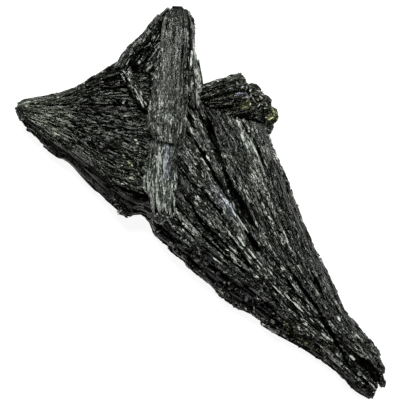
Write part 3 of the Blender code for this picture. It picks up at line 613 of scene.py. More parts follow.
# Flakes on the left fan's top; the brightest, with tones of 3.6 and 4.6, are painted highlights.
LEFT_FLAKES = (
    (-28.6, 13.6, 2.2, 0.5, 0.25, 0.3, 0.9), (-27.6, 12.8, 1.0, 0.6, 0.2, 0.3, 1.0),
    (-13.0, 12.2, 0.7, 0.5, 0.3, 0.3, 4.6), (-12.4, 11.6, 0.5, 0.4, 0.3, 0.3, 3.6),
)
left_sets = [
    bed(left, depth=0.5),
    lay_fibres(left, 420, (0.1, 0.49), width=(0.2, 0.5), length=(1.0, 5.0), rise=(-0.25, 0.05),
               roll=0.15, tone=(-0.65, 0.3)),
    lay_chips(left, 2900, (0.09, 0.49), width=(0.16, 0.4), length=(0.4, 2.0), rise=(-0.15, 0.08),
              roll=0.3, pitch=0.06, yaw=0.22, tone=(-0.7, 0.5)),
    lay_fibres(left, 130, (0.44, 0.51), loose=True, width=(0.25, 0.5), length=(3.0, 9.0),
               rise=(-0.1, 0.08), roll=0.1, tone=(-0.1, 0.3)),
    # Painted shade: near-black fibres and chips on the lower flank, which is turned from the
    # light.
    lay_fibres(left, 240, (-0.02, 0.1), width=(0.35, 0.9), length=(3.0, 11.0), rise=(-0.3, 0.1),
               tone=(-2.0, 0.5)),
    lay_chips(left, 700, (-0.02, 0.1), width=(0.15, 0.4), tone=(-1.6, 1.5)),
    lay_fibres(left, 130, (0.09, 0.49), reach=(0.0, 0.3), loose=True, width=(0.35, 0.7),
               length=(1.5, 5.0), rise=(0.02, 0.1), roll=0.06, tone=(-0.4, 0.25)),
    lay_fibres(left, 30, (0.105, 0.135), reach=(0.0, 0.75), loose=True, width=(0.25, 0.4),
               length=(1.0, 4.0), rise=(0.0, 0.1), roll=0.3, tone=(0.0, 0.8)),
    lay_fibres(left, 40, (-0.01, 0.02), loose=True, reach=(0.0, 0.9), width=(0.25, 0.45),
               length=(2.0, 6.0), rise=(-0.1, 0.05), tone=(0.0, 0.5)),
    lay_fibres(left, 300, UNDERSIDE, width=(0.4, 1.0), length=(4.0, 12.0), tone=(-0.4, 0.4)),
    *knots(LEFT_KNOTS[:1], rng, 220, tone=(-0.5, 0.5), roll=0.2, yaw=0.1),
    *knots(LEFT_KNOTS[1:], rng, 260, tone=(-1.2, 1.2), roll=0.7, yaw=0.5),
    lay_chips(left, 260, (0.03, 0.2), reach=(0.7, 0.97), loose=True, width=(0.25, 0.7),
              length=(0.3, 1.2), rise=(-1.0, 0.2), roll=0.7, yaw=0.8, tone=(-1.0, 2.1)),
    lay_chips(left, 80, (-0.03, 0.01), loose=True, width=(0.3, 0.8), length=(0.7, 2.4),
              rise=(-0.05, 0.25), roll=0.2, tone=(0.1, 0.9)),
    # Painted highlights: bright chips in two small patches of the fan's top, where it glints.
    lay_chips(left, 60, (0.3, 0.36), reach=(0.64, 0.81), loose=True, width=(0.15, 0.3),
              length=(0.4, 1.3), rise=(0.1, 0.3), roll=0.4, yaw=0.6, tone=(2.3, 1.4), sink=0.3),
    lay_chips(left, 110, (0.13, 0.24), reach=(0.6, 0.82), loose=True, width=(0.2, 0.45),
              length=(0.3, 1.0), rise=(0.0, 0.25), roll=0.4, yaw=0.8, tone=(0.8, 1.3), sink=0.3),
    set_blades(left, LEFT_FLAKES, sink=0.4),
]
# Painted light and shade on the left fan: its apex lighter, the valley by the upright blade and
# the crease above the flank darker, a few small spots lighter as highlights. The crust is the
# stone's own colour.
left_patches = {
    "tone": (
        (4.6, 0.8, (-35.4, 18.4), (-29.0, 16.4)), (3.4, -0.5, (-26.0, 14.6), (-20.0, 11.0)),
        (3.6, -1.0, (-20.0, 18.6), (-10.0, 13.0)),
        (0.8, -1.8, (-34.6, 15.2), (-27.0, 10.2), (-20.0, 4.6), (-15.0, 0.6)),
        (5.0, -0.8, (-22.0, 15.0), (-12.0, 10.0)), (4.5, -1.4, (-18.0, 22.0), (-9.0, 15.0)),
        (2.4, -0.7, (-21.0, 16.6), (-16.6, 15.4)), (2.0, -0.5, (-16.6, 7.6), (-12.4, 4.2)),
        (0.8, -1.6, (-26.6, 11.2), (-25.4, 10.4)), (2.4, -0.9, (-14.0, 1.2), (-10.6, 0.6)),
        (1.2, 1.2, (-11.6, 7.0), (-10.4, 9.0)), (0.6, 2.0, (-13.4, 12.2), (-12.6, 11.8)),
    ),
    "crust": ((0.9, 0.7, (-15.4, 8.6), (-14.2, 7.4)),),
}
left_grooves = [(((-16.0, 3.0, 0.4), (-13.4, 1.4, 1.6), (-10.8, 0.8, 1.0)), 8.4),
                (((-30.0, 13.2, 0.2), (-28.2, 12.0, 0.8), (-26.8, 11.2, 0.2)), 6.2)]
make_piece("left_fan", left_sets,
           kyanite("left_fan_kyanite", streaks=1.5, facets=0.2, shine=0.2,
                   tint=(0.98, 1.02, 0.9), gleam=(0.945, 1.0, 0.885)),
           left_patches, left_grooves)


# The web: thin blades between the left fan and the upright blade, fused to both along their
# edges, with a hollow behind their rim that is dark with painted shade.

WEB = {
    "outline": [
        (-6.4, 38.6, 10.0, 8.0), (-9.0, 36.8, 10.0, 7.2), (-10.9, 34.4, 9.6, 6.4),
        (-12.6, 32.5, 9.2, 5.6), (-14.4, 31.0, 8.8, 5.0), (-15.8, 29.2, 8.4, 4.4),
        (-17.4, 27.2, 7.4, 3.8),
    ],
    "rim": [
        (-6.0, 37.8, 11.4, 7.0), (-8.2, 35.8, 11.2, 6.4), (-10.0, 33.5, 10.6, 5.6),
        (-12.0, 31.3, 10.0, 4.8), (-13.8, 29.7, 9.4, 4.2), (-15.6, 27.0, 8.6, 3.4),
    ],
    "floor": [
        (-6.0, 34.4, 9.6, 6.4), (-8.0, 30.8, 8.8, 5.2), (-10.0, 28.0, 8.2, 4.2),
        (-12.8, 25.2, 7.8, 3.0),
    ],
    "inner_edge": [
        (-6.0, 28.4, 9.6, 5.4), (-7.6, 24.8, 9.0, 4.0), (-9.2, 22.0, 8.6, 3.0),
        (-11.0, 19.6, 8.4, 2.0),
    ],
}
WEB_SHARES = (0.0, 0.15, 0.6, 1.0)

rng = np.random.default_rng(12)
web_skin = fan_skin(WEB, WEB_SHARES, stations=60, lanes=60)
web = split_skin(web_skin, rng, count=30, height=0.3, breaks=4, gaps=0.5)
# Ledges across the web's hollow; their high tones are painted light on their edges.
WEB_LEDGES = (
    (-8.9, 32.2, 2.6, 0.30, 0.2, 0.3, 2.4), (-9.6, 31.4, 2.0, 0.25, 0.2, 0.3, 2.0),
    (-8.4, 31.0, 2.2, 0.30, 0.3, 0.2, 2.2), (-9.4, 29.6, 3.2, 0.35, 0.4, 0.3, 1.6),
    (-11.4, 28.6, 3.0, 0.35, 0.4, 0.3, 1.2), (-10.2, 26.7, 2.6, 0.22, 0.4, 0.3, 1.9),
    (-12.0, 26.0, 2.2, 0.22, 0.3, 0.3, 1.5), (-8.6, 27.4, 1.8, 0.25, 0.3, 0.3, 1.8),
)
web_sets = [
    bed(web, depth=0.5),
    # Painted shade: the inner fibres and chips of the web's hollow are dark.
    lay_fibres(web, 70, (0.08, 0.49), width=(0.25, 0.6), length=(2.0, 6.0), rise=(-0.4, 0.05),
               tone=(-1.5, 0.5)),
    lay_chips(web, 560, (0.07, 0.49), width=(0.15, 0.4), yaw=0.2, tone=(-1.2, 0.8)),
    # Painted light: paler fibres and chips along the web's raised rim.
    lay_fibres(web, 80, (-0.02, 0.07), loose=True, width=(0.2, 0.45), length=(2.0, 7.0),
               rise=(-0.1, 0.1), roll=0.15, tone=(0.35, 0.4)),
    lay_chips(web, 200, (-0.01, 0.07), loose=True, tone=(0.4, 0.7), roll=0.3),
    set_blades(web, WEB_LEDGES),
    lay_fibres(web, 120, UNDERSIDE, width=(0.4, 0.8), length=(3.0, 8.0), tone=(-0.4, 0.4)),
]
# Painted shade deep in the hollow, and a painted highlight along one ledge.
web_patches = {
    "tone": (
        (2.2, -2.0, (-13.2, 26.2), (-10.4, 22.4)), (0.5, 2.2, (-12.4, 27.2), (-9.8, 26.6)),
    ),
}
web_grooves = [(((-13.4, 26.4, 0.6), (-11.6, 24.6, 3.2), (-10.6, 21.4, 1.2)), 5.2)]
make_piece("web", web_sets, kyanite("web_kyanite"), web_patches, web_grooves)


# The ridge blade: one sliver of kyanite, brightened with painted highlights, that grew across
# the hollow of the web, from the upper outline down to the foot of the upright blade.

RIDGE_BLADE = {
    "left_edge": [(-16.1, 26.2, 8.9, 4.0), (-14.4, 23.0, 9.6, 4.0), (-11.8, 18.7, 10.2, 4.0)],
    "crest": [(-15.2, 26.9, 9.2, 4.0), (-13.5, 23.6, 9.9, 4.0), (-11.1, 18.9, 10.5, 4.0)],
    "right_edge": [(-14.4, 27.3, 9.0, 4.0), (-12.7, 24.1, 9.7, 4.0), (-10.5, 19.4, 10.3, 4.0)],
}
RIDGE_SHARES = (0.0, 0.5, 1.0)
# Painted highlights: bright streaks with high tones, also rolled towards the side light.
RIDGE_STREAKS = (
    (-13.8, 24.4, 1.2, 0.20, 0.15, 0.3, 2.0), (-13.6, 23.1, 1.2, 0.22, 0.15, 0.3, 2.8),
    (-12.7, 22.9, 1.0, 0.20, 0.20, 0.3, 3.4), (-12.7, 22.0, 1.4, 0.24, 0.20, 0.3, 4.0),
    (-11.9, 21.8, 1.1, 0.20, 0.20, 0.3, 3.6), (-12.4, 20.7, 1.0, 0.20, 0.20, 0.3, 3.4),
    (-11.7, 20.7, 1.4, 0.26, 0.20, 0.3, 4.8), (-11.0, 20.5, 1.0, 0.20, 0.20, 0.3, 3.8),
    (-11.5, 19.6, 1.2, 0.24, 0.20, 0.3, 4.8), (-10.7, 19.2, 1.0, 0.22, 0.20, 0.3, 4.2),
    (-11.1, 18.7, 0.8, 0.22, 0.20, 0.3, 3.8), (-14.6, 25.4, 1.2, 0.20, 0.10, 0.3, 1.2),
)

rng = np.random.default_rng(13)
ridge_skin = fan_skin(RIDGE_BLADE, RIDGE_SHARES, stations=40, lanes=24)
ridge_skin = round_end(ridge_skin, share=0.1, least=0.5)
ridge = split_skin(ridge_skin, rng, count=10, height=0.06, gaps=0.3, depth=0.4)
ridge_sets = [
    bed(ridge, depth=0.4),
    lay_fibres(ridge, 150, (-0.02, 0.5), width=(0.1, 0.22), length=(1.0, 4.0), rise=(-0.1, 0.05),
               roll=0.25, tone=(1.0, 0.5), sink=0.3),
    set_blades(ridge, RIDGE_STREAKS, sink=0.3),
]
# Painted shade on the ridge's upper end and along its lower part, beside the hollow.
ridge_patches = {
    "tone": (
        (1.2, -1.6, (-15.6, 26.6), (-13.6, 23.6)), (1.0, -1.0, (-12.0, 22.4), (-10.8, 19.4)),
    ),
}
make_piece("ridge_blade", ridge_sets,
           kyanite("ridge_kyanite", facets=0.15, polish=0.3, shine=0.5), ridge_patches)


# The upright blade: the highest blade of the cluster, painted paler than the rest where the
# most light falls on it, a bundle of long fibres with a narrower side blade at its right behind
# a slit. Both break off at a rough ledge below.

UPRIGHT = {
    "left_edge": [
        (-7.0, 38.4, 10.5, 7.5), (-7.6, 35.4, 12.0, 6.0), (-7.8, 32.4, 12.8, 5.5),
        (-8.4, 29.4, 13.4, 5.0), (-9.4, 24.8, 14.2, 4.5), (-10.0, 20.8, 14.8, 4.0),
        (-10.6, 16.4, 15.2, 4.0), (-9.6, 13.0, 15.2, 4.0),
    ],
    "crown_left": [
        (-5.4, 38.8, 11.5, 7.0), (-6.6, 35.4, 13.6, 5.5), (-6.8, 31.4, 14.6, 5.0),
        (-7.6, 26.4, 15.6, 4.5), (-8.6, 20.4, 16.4, 4.0), (-9.0, 16.0, 16.8, 4.0),
        (-8.4, 12.2, 16.8, 4.0),
    ],
    "crown_right": [
        (-3.8, 38.8, 11.5, 7.0), (-3.4, 35.4, 13.6, 5.5), (-3.6, 30.4, 15.0, 5.0),
        (-4.0, 24.4, 16.0, 4.5), (-4.0, 18.4, 16.4, 4.0), (-4.6, 11.4, 16.4, 4.0),
    ],
    "right_edge": [
        (-2.1, 38.3, 10.5, 7.5), (-2.0, 34.4, 12.6, 6.0), (-2.4, 29.4, 13.6, 5.5),
        (-2.6, 24.4, 14.2, 5.0), (-2.4, 19.4, 14.4, 5.0), (-3.0, 11.2, 14.4, 5.0),
    ],
}
UPRIGHT_SHARES = (0.0, 0.16, 0.84, 1.0)
SIDE_BLADE = {
    "left_edge": [
        (-3.4, 38.2, 10.5, 7.5), (-3.0, 33.4, 12.2, 6.0), (-3.2, 28.4, 13.0, 5.0),
        (-3.0, 23.4, 13.6, 4.5), (-2.4, 18.6, 13.8, 4.0),
    ],
    "crest": [
        (-2.5, 38.3, 11.0, 7.0), (-1.8, 34.0, 13.4, 5.5), (-1.6, 28.4, 14.2, 5.0),
        (-1.2, 23.4, 14.8, 4.5), (-0.8, 18.6, 15.0, 4.0),
    ],
    "right_edge": [
        (-1.9, 38.0, 10.0, 8.0), (-1.1, 36.0, 11.5, 7.0), (-1.0, 30.8, 12.0, 6.0),
        (-0.6, 27.8, 12.0, 5.5), (0.1, 24.4, 12.2, 5.0), (0.3, 22.0, 12.4, 4.5),
        (0.1, 18.2, 12.4, 4.0),
    ],
}
SIDE_SHARES = (0.0, 0.5, 1.0)

# Bands down the upright blade, their tones a painted sheen on lighter bundles of fibres.
UPRIGHT_BANDS = (
    (-6.2, 26.0, 9.0, 0.5, 0.05, 0.1, 0.9), (-5.2, 31.0, 8.0, 0.6, 0.05, 0.0, 0.4),
    (-4.4, 24.0, 7.0, 0.5, 0.05, 0.1, 0.6), (-7.3, 20.6, 5.0, 0.35, 0.1, 0.3, 1.3),
    (-6.6, 18.0, 4.0, 0.4, 0.1, 0.2, 1.2), (-8.0, 17.4, 3.6, 0.3, 0.1, 0.3, 1.4),
    (-3.6, 20.0, 4.2, 0.45, 0.05, 0.2, 0.9), (-5.6, 36.0, 3.6, 0.4, 0.05, 0.3, 1.2),
    (-4.5, 36.4, 3.0, 0.3, 0.05, 0.2, 0.9), (-5.2, 16.0, 3.0, 0.3, 0.1, 0.2, 1.3),
)

rng = np.random.default_rng(14)
upright_skin = fan_skin(UPRIGHT, UPRIGHT_SHARES, stations=110, lanes=60)
upright_skin = round_end(upright_skin, share=0.02, least=0.85)
upright = split_skin(upright_skin, rng, count=30, height=0.15, breaks=2, gaps=0.15, depth=0.7,
                     slim=(0.1, 0.25), shade=0.6)
upright_sets = [
    bed(upright, depth=0.4),
    lay_fibres(upright, 300, TOP, width=(0.25, 0.6), length=(3.0, 10.0), rise=(-0.15, 0.02),
               roll=0.12, tone=(0.25, 0.2)),
    lay_chips(upright, 1000, TOP, reach=(0.0, 0.62), width=(0.12, 0.3), length=(1.0, 4.0),
              rise=(-0.1, 0.04), roll=0.15, pitch=0.02, yaw=0.03, tone=(0.3, 0.25)),
    lay_chips(upright, 1500, TOP, reach=(0.6, 1.0), width=(0.14, 0.4), length=(0.4, 1.8),
              rise=(-0.12, 0.1), roll=0.35, pitch=0.12, yaw=0.2, tone=(0.5, 0.6)),
    # Painted highlight: pale chips along the blade's left edge, where a narrow face is lit.
    lay_chips(upright, 220, (0.0, 0.06), reach=(0.3, 1.0), loose=True, width=(0.15, 0.3),
              tone=(0.9, 0.8)),
    set_blades(upright, UPRIGHT_BANDS),
    lay_fibres(upright, 160, UNDERSIDE, width=(0.4, 0.8), length=(3.0, 9.0), tone=(-0.2, 0.3)),
]
slit = [(((-3.3, 27.4, 0.2), (-3.0, 24.6, 0.6), (-2.8, 22.6, 0.2)), 9.0)]
# Painted light and shade on the upright blade: its steep right wall and lower left lit, lighter
# and darker bands down its face, dark notches in its left edge.
upright_patches = {
    "tone": (
        (1.2, -0.4, (-8.8, 14.0), (-4.6, 12.4)), (2.0, 0.5, (-8.4, 21.0), (-7.4, 15.0)),
        (1.0, 1.3, (-2.8, 20.0), (-3.0, 12.0)), (0.9, 0.8, (-8.0, 13.0), (-6.6, 12.4)),
        (0.7, -1.6, (-8.4, 24.0), (-8.8, 22.4)), (0.5, -1.4, (-7.8, 29.4), (-7.9, 28.4)),
        (1.0, -0.5, (-4.4, 15.0), (-4.0, 12.6)), (0.6, 0.5, (-7.0, 37.0), (-7.4, 30.0)),
        (1.2, -0.4, (-5.4, 30.0), (-5.6, 25.0)), (1.1, -0.6, (-4.6, 36.0), (-4.8, 25.0)),
        (1.4, -0.5, (-4.8, 24.6), (-5.2, 22.6)),
    ),
}
upright_finish = kyanite("upright_kyanite", streaks=1.0, grain=0.6, facets=0.16)
make_piece("upright_blade", upright_sets, upright_finish, upright_patches, slit)

# Painted light: the side blade's pale strip, streaks with high tones.
SIDE_STREAKS = (
    (-1.6, 33.0, 6.5, 0.4, 0.1, 0.3, 2.0), (-1.3, 30.0, 4.0, 0.3, 0.1, 0.3, 2.2),
    (-1.7, 27.6, 3.0, 0.25, 0.1, 0.2, 1.6), (-0.7, 26.0, 4.0, 0.3, 0.1, 0.2, 1.2),
)
side_skin = fan_skin(SIDE_BLADE, SIDE_SHARES, stations=80, lanes=30)
side_skin = round_end(side_skin, share=0.06, least=0.5)
side_skin = round_end(side_skin, share=0.05, end=True)
side = split_skin(side_skin, rng, count=12, height=0.06, gaps=0.1, depth=0.5, slim=(0.1, 0.2))
side_sets = [
    bed(side, depth=0.3),
    lay_fibres(side, 80, TOP, width=(0.2, 0.45), length=(2.0, 8.0), rise=(-0.15, 0.02), roll=0.15,
               tone=(1.0, 0.3)),
    lay_chips(side, 460, TOP, width=(0.14, 0.34), rise=(-0.1, 0.06), roll=0.2, yaw=0.06,
              tone=(0.9, 0.5)),
    set_blades(side, SIDE_STREAKS),
    lay_fibres(side, 60, UNDERSIDE, width=(0.3, 0.6), length=(2.0, 8.0), tone=(-0.2, 0.3)),
]
make_piece("side_blade", side_sets, upright_finish, grooves=slit)


# The lower spine: a smooth blade, painted bright where it catches the light, that carries on
# below the upright blade's broken ledge, with a painted violet-blue sheen on its flattest face.

LOWER_SPINE = {
    "left_edge": [
        (-9.8, 13.2, 13.4, 5.0), (-10.8, 8.4, 12.6, 4.0), (-11.6, 2.8, 11.6, 3.0),
        (-9.9, 1.0, 11.5, 3.0), (-9.4, -3.8, 11.0, 3.0),
    ],
    "crest_left": [(-8.6, 13.2, 15.4, 4.0), (-9.1, 6.4, 15.0, 3.5), (-8.8, -4.2, 14.0, 3.0)],
    "crest_right": [(-6.2, 12.6, 15.4, 4.0), (-6.6, 4.4, 15.0, 3.5), (-6.4, -4.0, 13.8, 3.0)],
    "right_edge": [(-4.2, 12.4, 13.5, 5.0), (-4.4, 4.4, 13.0, 4.0), (-5.0, -3.2, 12.5, 3.0)],
}
SPINE_SHARES = (0.0, 0.25, 0.8, 1.0)
# Painted highlights: the spine's bright streaks, the white line among them, have high tones.
SPINE_STREAKS = (
    (-8.2, 8.4, 9.0, 0.35, 0.1, 0.3, 2.6), (-8.6, 2.4, 7.0, 0.3, 0.1, 0.3, 2.8),
    (-7.7, 4.6, 6.0, 0.3, 0.1, 0.2, 1.8), (-7.0, 10.2, 5.0, 0.6, 0.05, 0.2, 1.4),
    (-6.7, 7.0, 6.0, 0.6, 0.05, 0.25, 1.3), (-6.0, 4.4, 4.0, 0.4, 0.05, 0.2, 1.0),
    (-8.4, -0.6, 4.6, 0.35, 0.1, 0.3, 2.0), (-7.4, -1.6, 3.0, 0.3, 0.1, 0.2, 1.2),
    (-9.6, 9.0, 5.0, 0.4, 0.0, 0.0, 0.2), (-10.4, 5.4, 5.0, 0.35, 0.0, 0.1, 0.4),
)

rng = np.random.default_rng(15)
spine_skin = fan_skin(LOWER_SPINE, SPINE_SHARES, stations=80, lanes=50)
spine_skin = round_end(spine_skin, share=0.05, end=True)
spine = split_skin(spine_skin, rng, count=18, height=0.1, breaks=2, gaps=0.25, depth=0.7,
                   slim=(0.12, 0.3), shade=0.8)
spine_sets = [
    bed(spine, depth=0.35, tone=-1.0),
    lay_fibres(spine, 190, TOP, width=(0.3, 0.7), length=(4.0, 13.0), rise=(-0.15, 0.02), roll=0.1,
               pitch=0.01, tone=(1.4, 0.4)),
    lay_chips(spine, 380, TOP, width=(0.1, 0.26), length=(0.8, 4.0), rise=(-0.12, 0.02), roll=0.2,
              pitch=0.02, yaw=0.03, tone=(1.4, 0.8)),
    set_blades(spine, SPINE_STREAKS),
    lay_chips(spine, 260, TOP, reach=(0.86, 1.0), loose=True, width=(0.2, 0.5), yaw=0.4, roll=0.6,
              tone=(-0.2, 1.0)),
    lay_fibres(spine, 90, UNDERSIDE, width=(0.4, 0.8), length=(3.0, 9.0), tone=(-0.2, 0.3)),
]
# A painted sheen on the spine's flattest face, painted shade on its right edge and left shoulder,
# and painted light on its lower end.
spine_patches = {
    "lilac": ((1.0, 0.5, (-6.6, 11.0), (-6.4, 6.0)),),
    "tone": (
        (0.8, -0.4, (-4.8, 10.0), (-4.8, 4.0)), (1.2, -1.0, (-10.4, 9.0), (-11.0, 4.0)),
        (1.1, 0.9, (-6.2, 2.4), (-5.8, -2.4)),
    ),
}
make_piece("lower_spine", spine_sets,
           kyanite("spine_kyanite", streaks=1.2, grain=0.7, facets=0.12, polish=0.2, shine=0.4,
                   gleam=(0.96, 1.0, 0.98)),
           spine_patches)


# The right fan: the largest growth, long laths that taper from the upright blade to the
# splintered tip. Its front sheet is pale and rough, its lower flank steep and coarse and dark
# with painted shade, and a deep groove opens between its laths, black with its depth and the
# bed's painted shade.

RIGHT_FAN = {
    "outline_low": [
        (-11.0, -2.4, 4.0, 1.5), (-9.7, -4.4, 4.0, 1.5), (-9.2, -6.2, 3.9, 1.3),
        (-8.4, -7.0, 3.8, 1.2), (-5.6, -9.0, 3.7, 1.0), (-5.8, -9.7, 3.6, 1.0),
        (-2.9, -11.7, 3.5, 0.9), (-2.1, -13.0, 3.4, 0.8), (2.3, -16.6, 3.2, 0.8),
        (4.4, -19.1, 3.0, 0.8), (8.0, -21.2, 3.0, 0.8), (12.4, -23.7, 2.8, 0.8),
        (12.8, -24.9, 2.8, 0.8), (20.0, -28.6, 2.6, 0.7), (24.2, -31.3, 2.6, 0.7),
        (28.3, -34.4, 2.6, 0.7), (31.4, -37.6, 2.6, 0.8), (34.4, -39.4, 2.8, 1.0),
    ],
    "crease": [
        (-8.8, 0.4, 12.5, 0.8), (-5.6, -4.0, 12.2, 0.5), (-0.4, -9.6, 11.8, 0.3),
        (5.0, -13.6, 11.2, 0.2), (11.0, -17.6, 10.2, 0.2), (18.0, -24.0, 8.6, 0.2),
        (25.0, -29.6, 7.2, 0.3), (30.4, -34.8, 6.2, 0.5), (34.9, -38.4, 5.4, 0.8),
    ],
    "laths": [
        (-6.4, 12.8, 13.4, 1.2), (0.0, 4.0, 13.6, 0.8), (5.2, -2.6, 13.0, 0.5),
        (10.0, -9.6, 12.2, 0.3), (16.0, -16.6, 10.8, 0.2), (23.0, -23.6, 9.0, 0.3),
        (29.0, -30.0, 7.4, 0.5), (35.6, -37.0, 5.8, 1.0),
    ],
    "groove": [
        (-2.8, 20.6, 12.4, 2.6), (4.4, 7.4, 12.8, 1.4), (8.0, 0.0, 12.4, 1.0),
        (11.2, -6.0, 12.0, 0.8), (16.4, -14.0, 11.0, 0.5), (23.0, -21.6, 9.4, 0.4),
        (30.0, -28.6, 7.6, 0.4), (36.6, -34.6, 5.8, 1.4),
    ],
    "sheet": [
        (6.4, 16.8, 12.6, 3.0), (10.4, 8.4, 12.4, 2.4), (13.6, 1.4, 12.0, 1.8),
        (16.6, -6.0, 11.4, 1.4), (20.4, -13.4, 10.2, 1.0), (25.4, -21.4, 8.6, 0.8),
        (31.0, -27.8, 7.0, 0.8), (35.6, -33.2, 5.8, 1.6),
    ],
    "shoulder": [
        (11.2, 16.0, 11.4, 4.0), (13.6, 10.4, 11.4, 3.4), (16.2, 2.4, 10.8, 2.8),
        (18.8, -4.6, 10.2, 2.4), (23.0, -12.8, 9.0, 2.0), (27.4, -21.4, 7.8, 1.6),
        (31.8, -27.2, 6.6, 1.6), (35.4, -31.8, 5.6, 2.0),
    ],
    "outline_high": [
        (13.2, 15.2, 8.0, 5.5), (13.9, 12.8, 8.0, 5.2), (15.3, 9.4, 7.8, 5.0),
        (16.9, 6.2, 7.6, 4.8), (18.2, 2.6, 7.4, 4.6), (20.7, -4.0, 7.0, 4.2),
        (23.6, -10.4, 6.6, 3.8), (26.7, -16.2, 6.2, 3.4), (28.7, -21.2, 6.0, 3.2),
        (31.0, -23.8, 5.6, 3.0), (33.6, -27.0, 5.2, 2.8), (36.2, -30.4, 4.8, 2.8),
    ],
}
RIGHT_SHARES = (0.0, 0.16, 0.42, 0.56, 0.78, 0.95, 1.0)
FLANK_LANES = 0.09
FLANK_GAPS = 0.35
RIGHT_GROOVES = [
    (((4.4, 7.4, 0.4), (6.4, 2.4, 1.3), (8.2, -0.6, 2.0), (10.6, -4.8, 0.5)), 7.6),
    (((8.8, -5.6, 0.3), (11.0, -8.6, 1.3), (12.0, -10.8, 0.3)), 8.0),
    (((1.6, 16.6, 0.5), (3.0, 11.6, 1.4), (4.4, 6.4, 0.6)), 8.4),
    (((-3.2, 19.0, 0.3), (-2.0, 16.6, 1.0), (-0.6, 13.0, 0.3)), 9.6),
    (((-0.2, 17.8, 0.3), (1.6, 14.2, 0.8), (2.6, 11.0, 0.3)), 9.6),
    (((10.0, 13.6, 0.4), (11.6, 10.4, 0.7), (13.2, 5.8, 0.3)), 8.6),
    (((8.4, 15.8, 0.7), (10.0, 12.8, 0.3)), 9.6),
    (((17.6, -13.2, 0.3), (23.6, -21.6, 0.9), (27.0, -27.6, 0.8), (30.0, -33.2, 0.4)), 4.6),
    (((22.0, -13.6, 0.3), (23.4, -16.2, 0.8), (24.4, -18.4, 0.3)), 5.6),
    (((5.6, -6.2, 0.2), (8.6, -11.0, 0.6), (12.6, -16.6, 0.2)), 8.6),
    (((-3.2, 2.0, 0.2), (0.4, -4.4, 0.7), (5.4, -10.6, 0.3)), 9.0),
    (((13.6, -9.6, 0.2), (17.4, -15.6, 0.5), (20.6, -20.4, 0.2)), 7.0),
    (((32.2, -31.4, 0.8), (34.0, -33.4, 2.8), (35.2, -34.8, 1.4)), 1.8),
]

rng = np.random.default_rng(16)
right_skin = fan_skin(RIGHT_FAN, RIGHT_SHARES, stations=140, lanes=135)
laths = split_skin(right_skin, rng, count=64, height=0.45, breaks=6, gaps=0.9, depth=1.6,
                   slim=(0.3, 0.65), shade=1.6)
on_flank = laths.blades["starts"][:-1] < FLANK_LANES
laths.blades["slim"] *= np.where(on_flank, FLANK_GAPS, 1.0)
sheet = split_skin(right_skin, rng, count=64, height=0.2, breaks=5, gaps=0.6, slim=(0.15, 0.4))
right_finish = kyanite("right_fan_kyanite", grain=0.9, facets=0.3)
make_piece("right_fan_bed", [bed(laths, depth=0.8)], right_finish, grooves=RIGHT_GROOVES)

# Painted highlights: plates on the laths with high tones, rolled to catch the side light.
LATH_PLATES = (
    (3.0, 2.4, 2.2, 0.5, 0.2, 0.30, 1.3), (4.2, 1.4, 2.4, 0.6, 0.2, 0.32, 1.5),
    (5.4, -0.2, 2.8, 0.6, 0.2, 0.32, 1.4), (6.4, -1.8, 2.6, 0.5, 0.2, 0.32, 1.6),
    (4.6, -0.6, 2.0, 0.4, 0.1, 0.26, 1.0), (5.8, -2.6, 2.0, 0.4, 0.1, 0.28, 1.2),
    (7.9, -3.8, 2.8, 0.25, 0.3, 0.40, 3.4), (9.0, -5.3, 2.0, 0.25, 0.3, 0.40, 3.0),
    (0.8, 7.4, 3.0, 0.5, 0.3, 0.25, 1.6), (1.8, 5.2, 2.8, 0.4, 0.3, 0.30, 1.9),
    (2.4, 3.6, 2.2, 0.4, 0.3, 0.30, 2.0), (-1.6, 9.4, 2.0, 0.4, 0.3, 0.30, 2.0),
    (8.4, -7.8, 2.4, 0.40, 0.4, 0.35, 2.6), (10.2, -10.2, 2.6, 0.45, 0.4, 0.32, 2.4),
    (3.4, -11.8, 2.2, 0.35, 0.4, 0.35, 2.5), (4.4, -13.0, 2.4, 0.30, 0.4, 0.35, 2.2),
    (15.8, -17.6, 3.2, 0.25, 0.4, 0.35, 2.2), (17.6, -19.1, 2.6, 0.25, 0.4, 0.35, 2.4),
    (19.3, -20.6, 3.2, 0.25, 0.4, 0.35, 2.2), (-1.4, -1.4, 3.0, 0.3, 0.3, 0.3, 1.8),
    (1.2, -3.6, 3.4, 0.35, 0.3, 0.3, 1.5), (12.4, -12.6, 3.0, 0.35, 0.3, 0.3, 1.8),
    (25.2, -27.0, 2.0, 0.5, 0.3, 0.20, 2.2), (6.6, -9.6, 2.4, 0.4, 0.3, 0.3, 1.9),
)
# Painted shade along the lower laths and near the tip; a painted highlight along the groove's
# edge.
LOWER_LATHS_SHADE = (1.8, -1.0, (0.0, -13.0), (9.0, -16.4), (12.0, -19.4), (17.0, -21.6))
TIP_SHADE = (1.2, -0.8, (25.0, -28.4), (30.0, -33.0))
GROOVE_GLEAM = (0.8, 0.6, (12.2, -6.8), (13.6, -9.4))
lath_sets = [
    lay_fibres(laths, 900, (0.07, 0.29), width=(0.35, 0.95), length=(1.4, 5.0), rise=(-0.4, 0.1),
               roll=0.35, tone=(-0.4, 0.8), sink=0.8),
    lay_chips(laths, 1900, (0.07, 0.29), width=(0.18, 0.45), length=(0.5, 2.0), rise=(-0.2, 0.2),
              roll=0.5, yaw=0.08, pitch=0.08, tone=(0.0, 1.2)),
    set_blades(laths, LATH_PLATES),
]
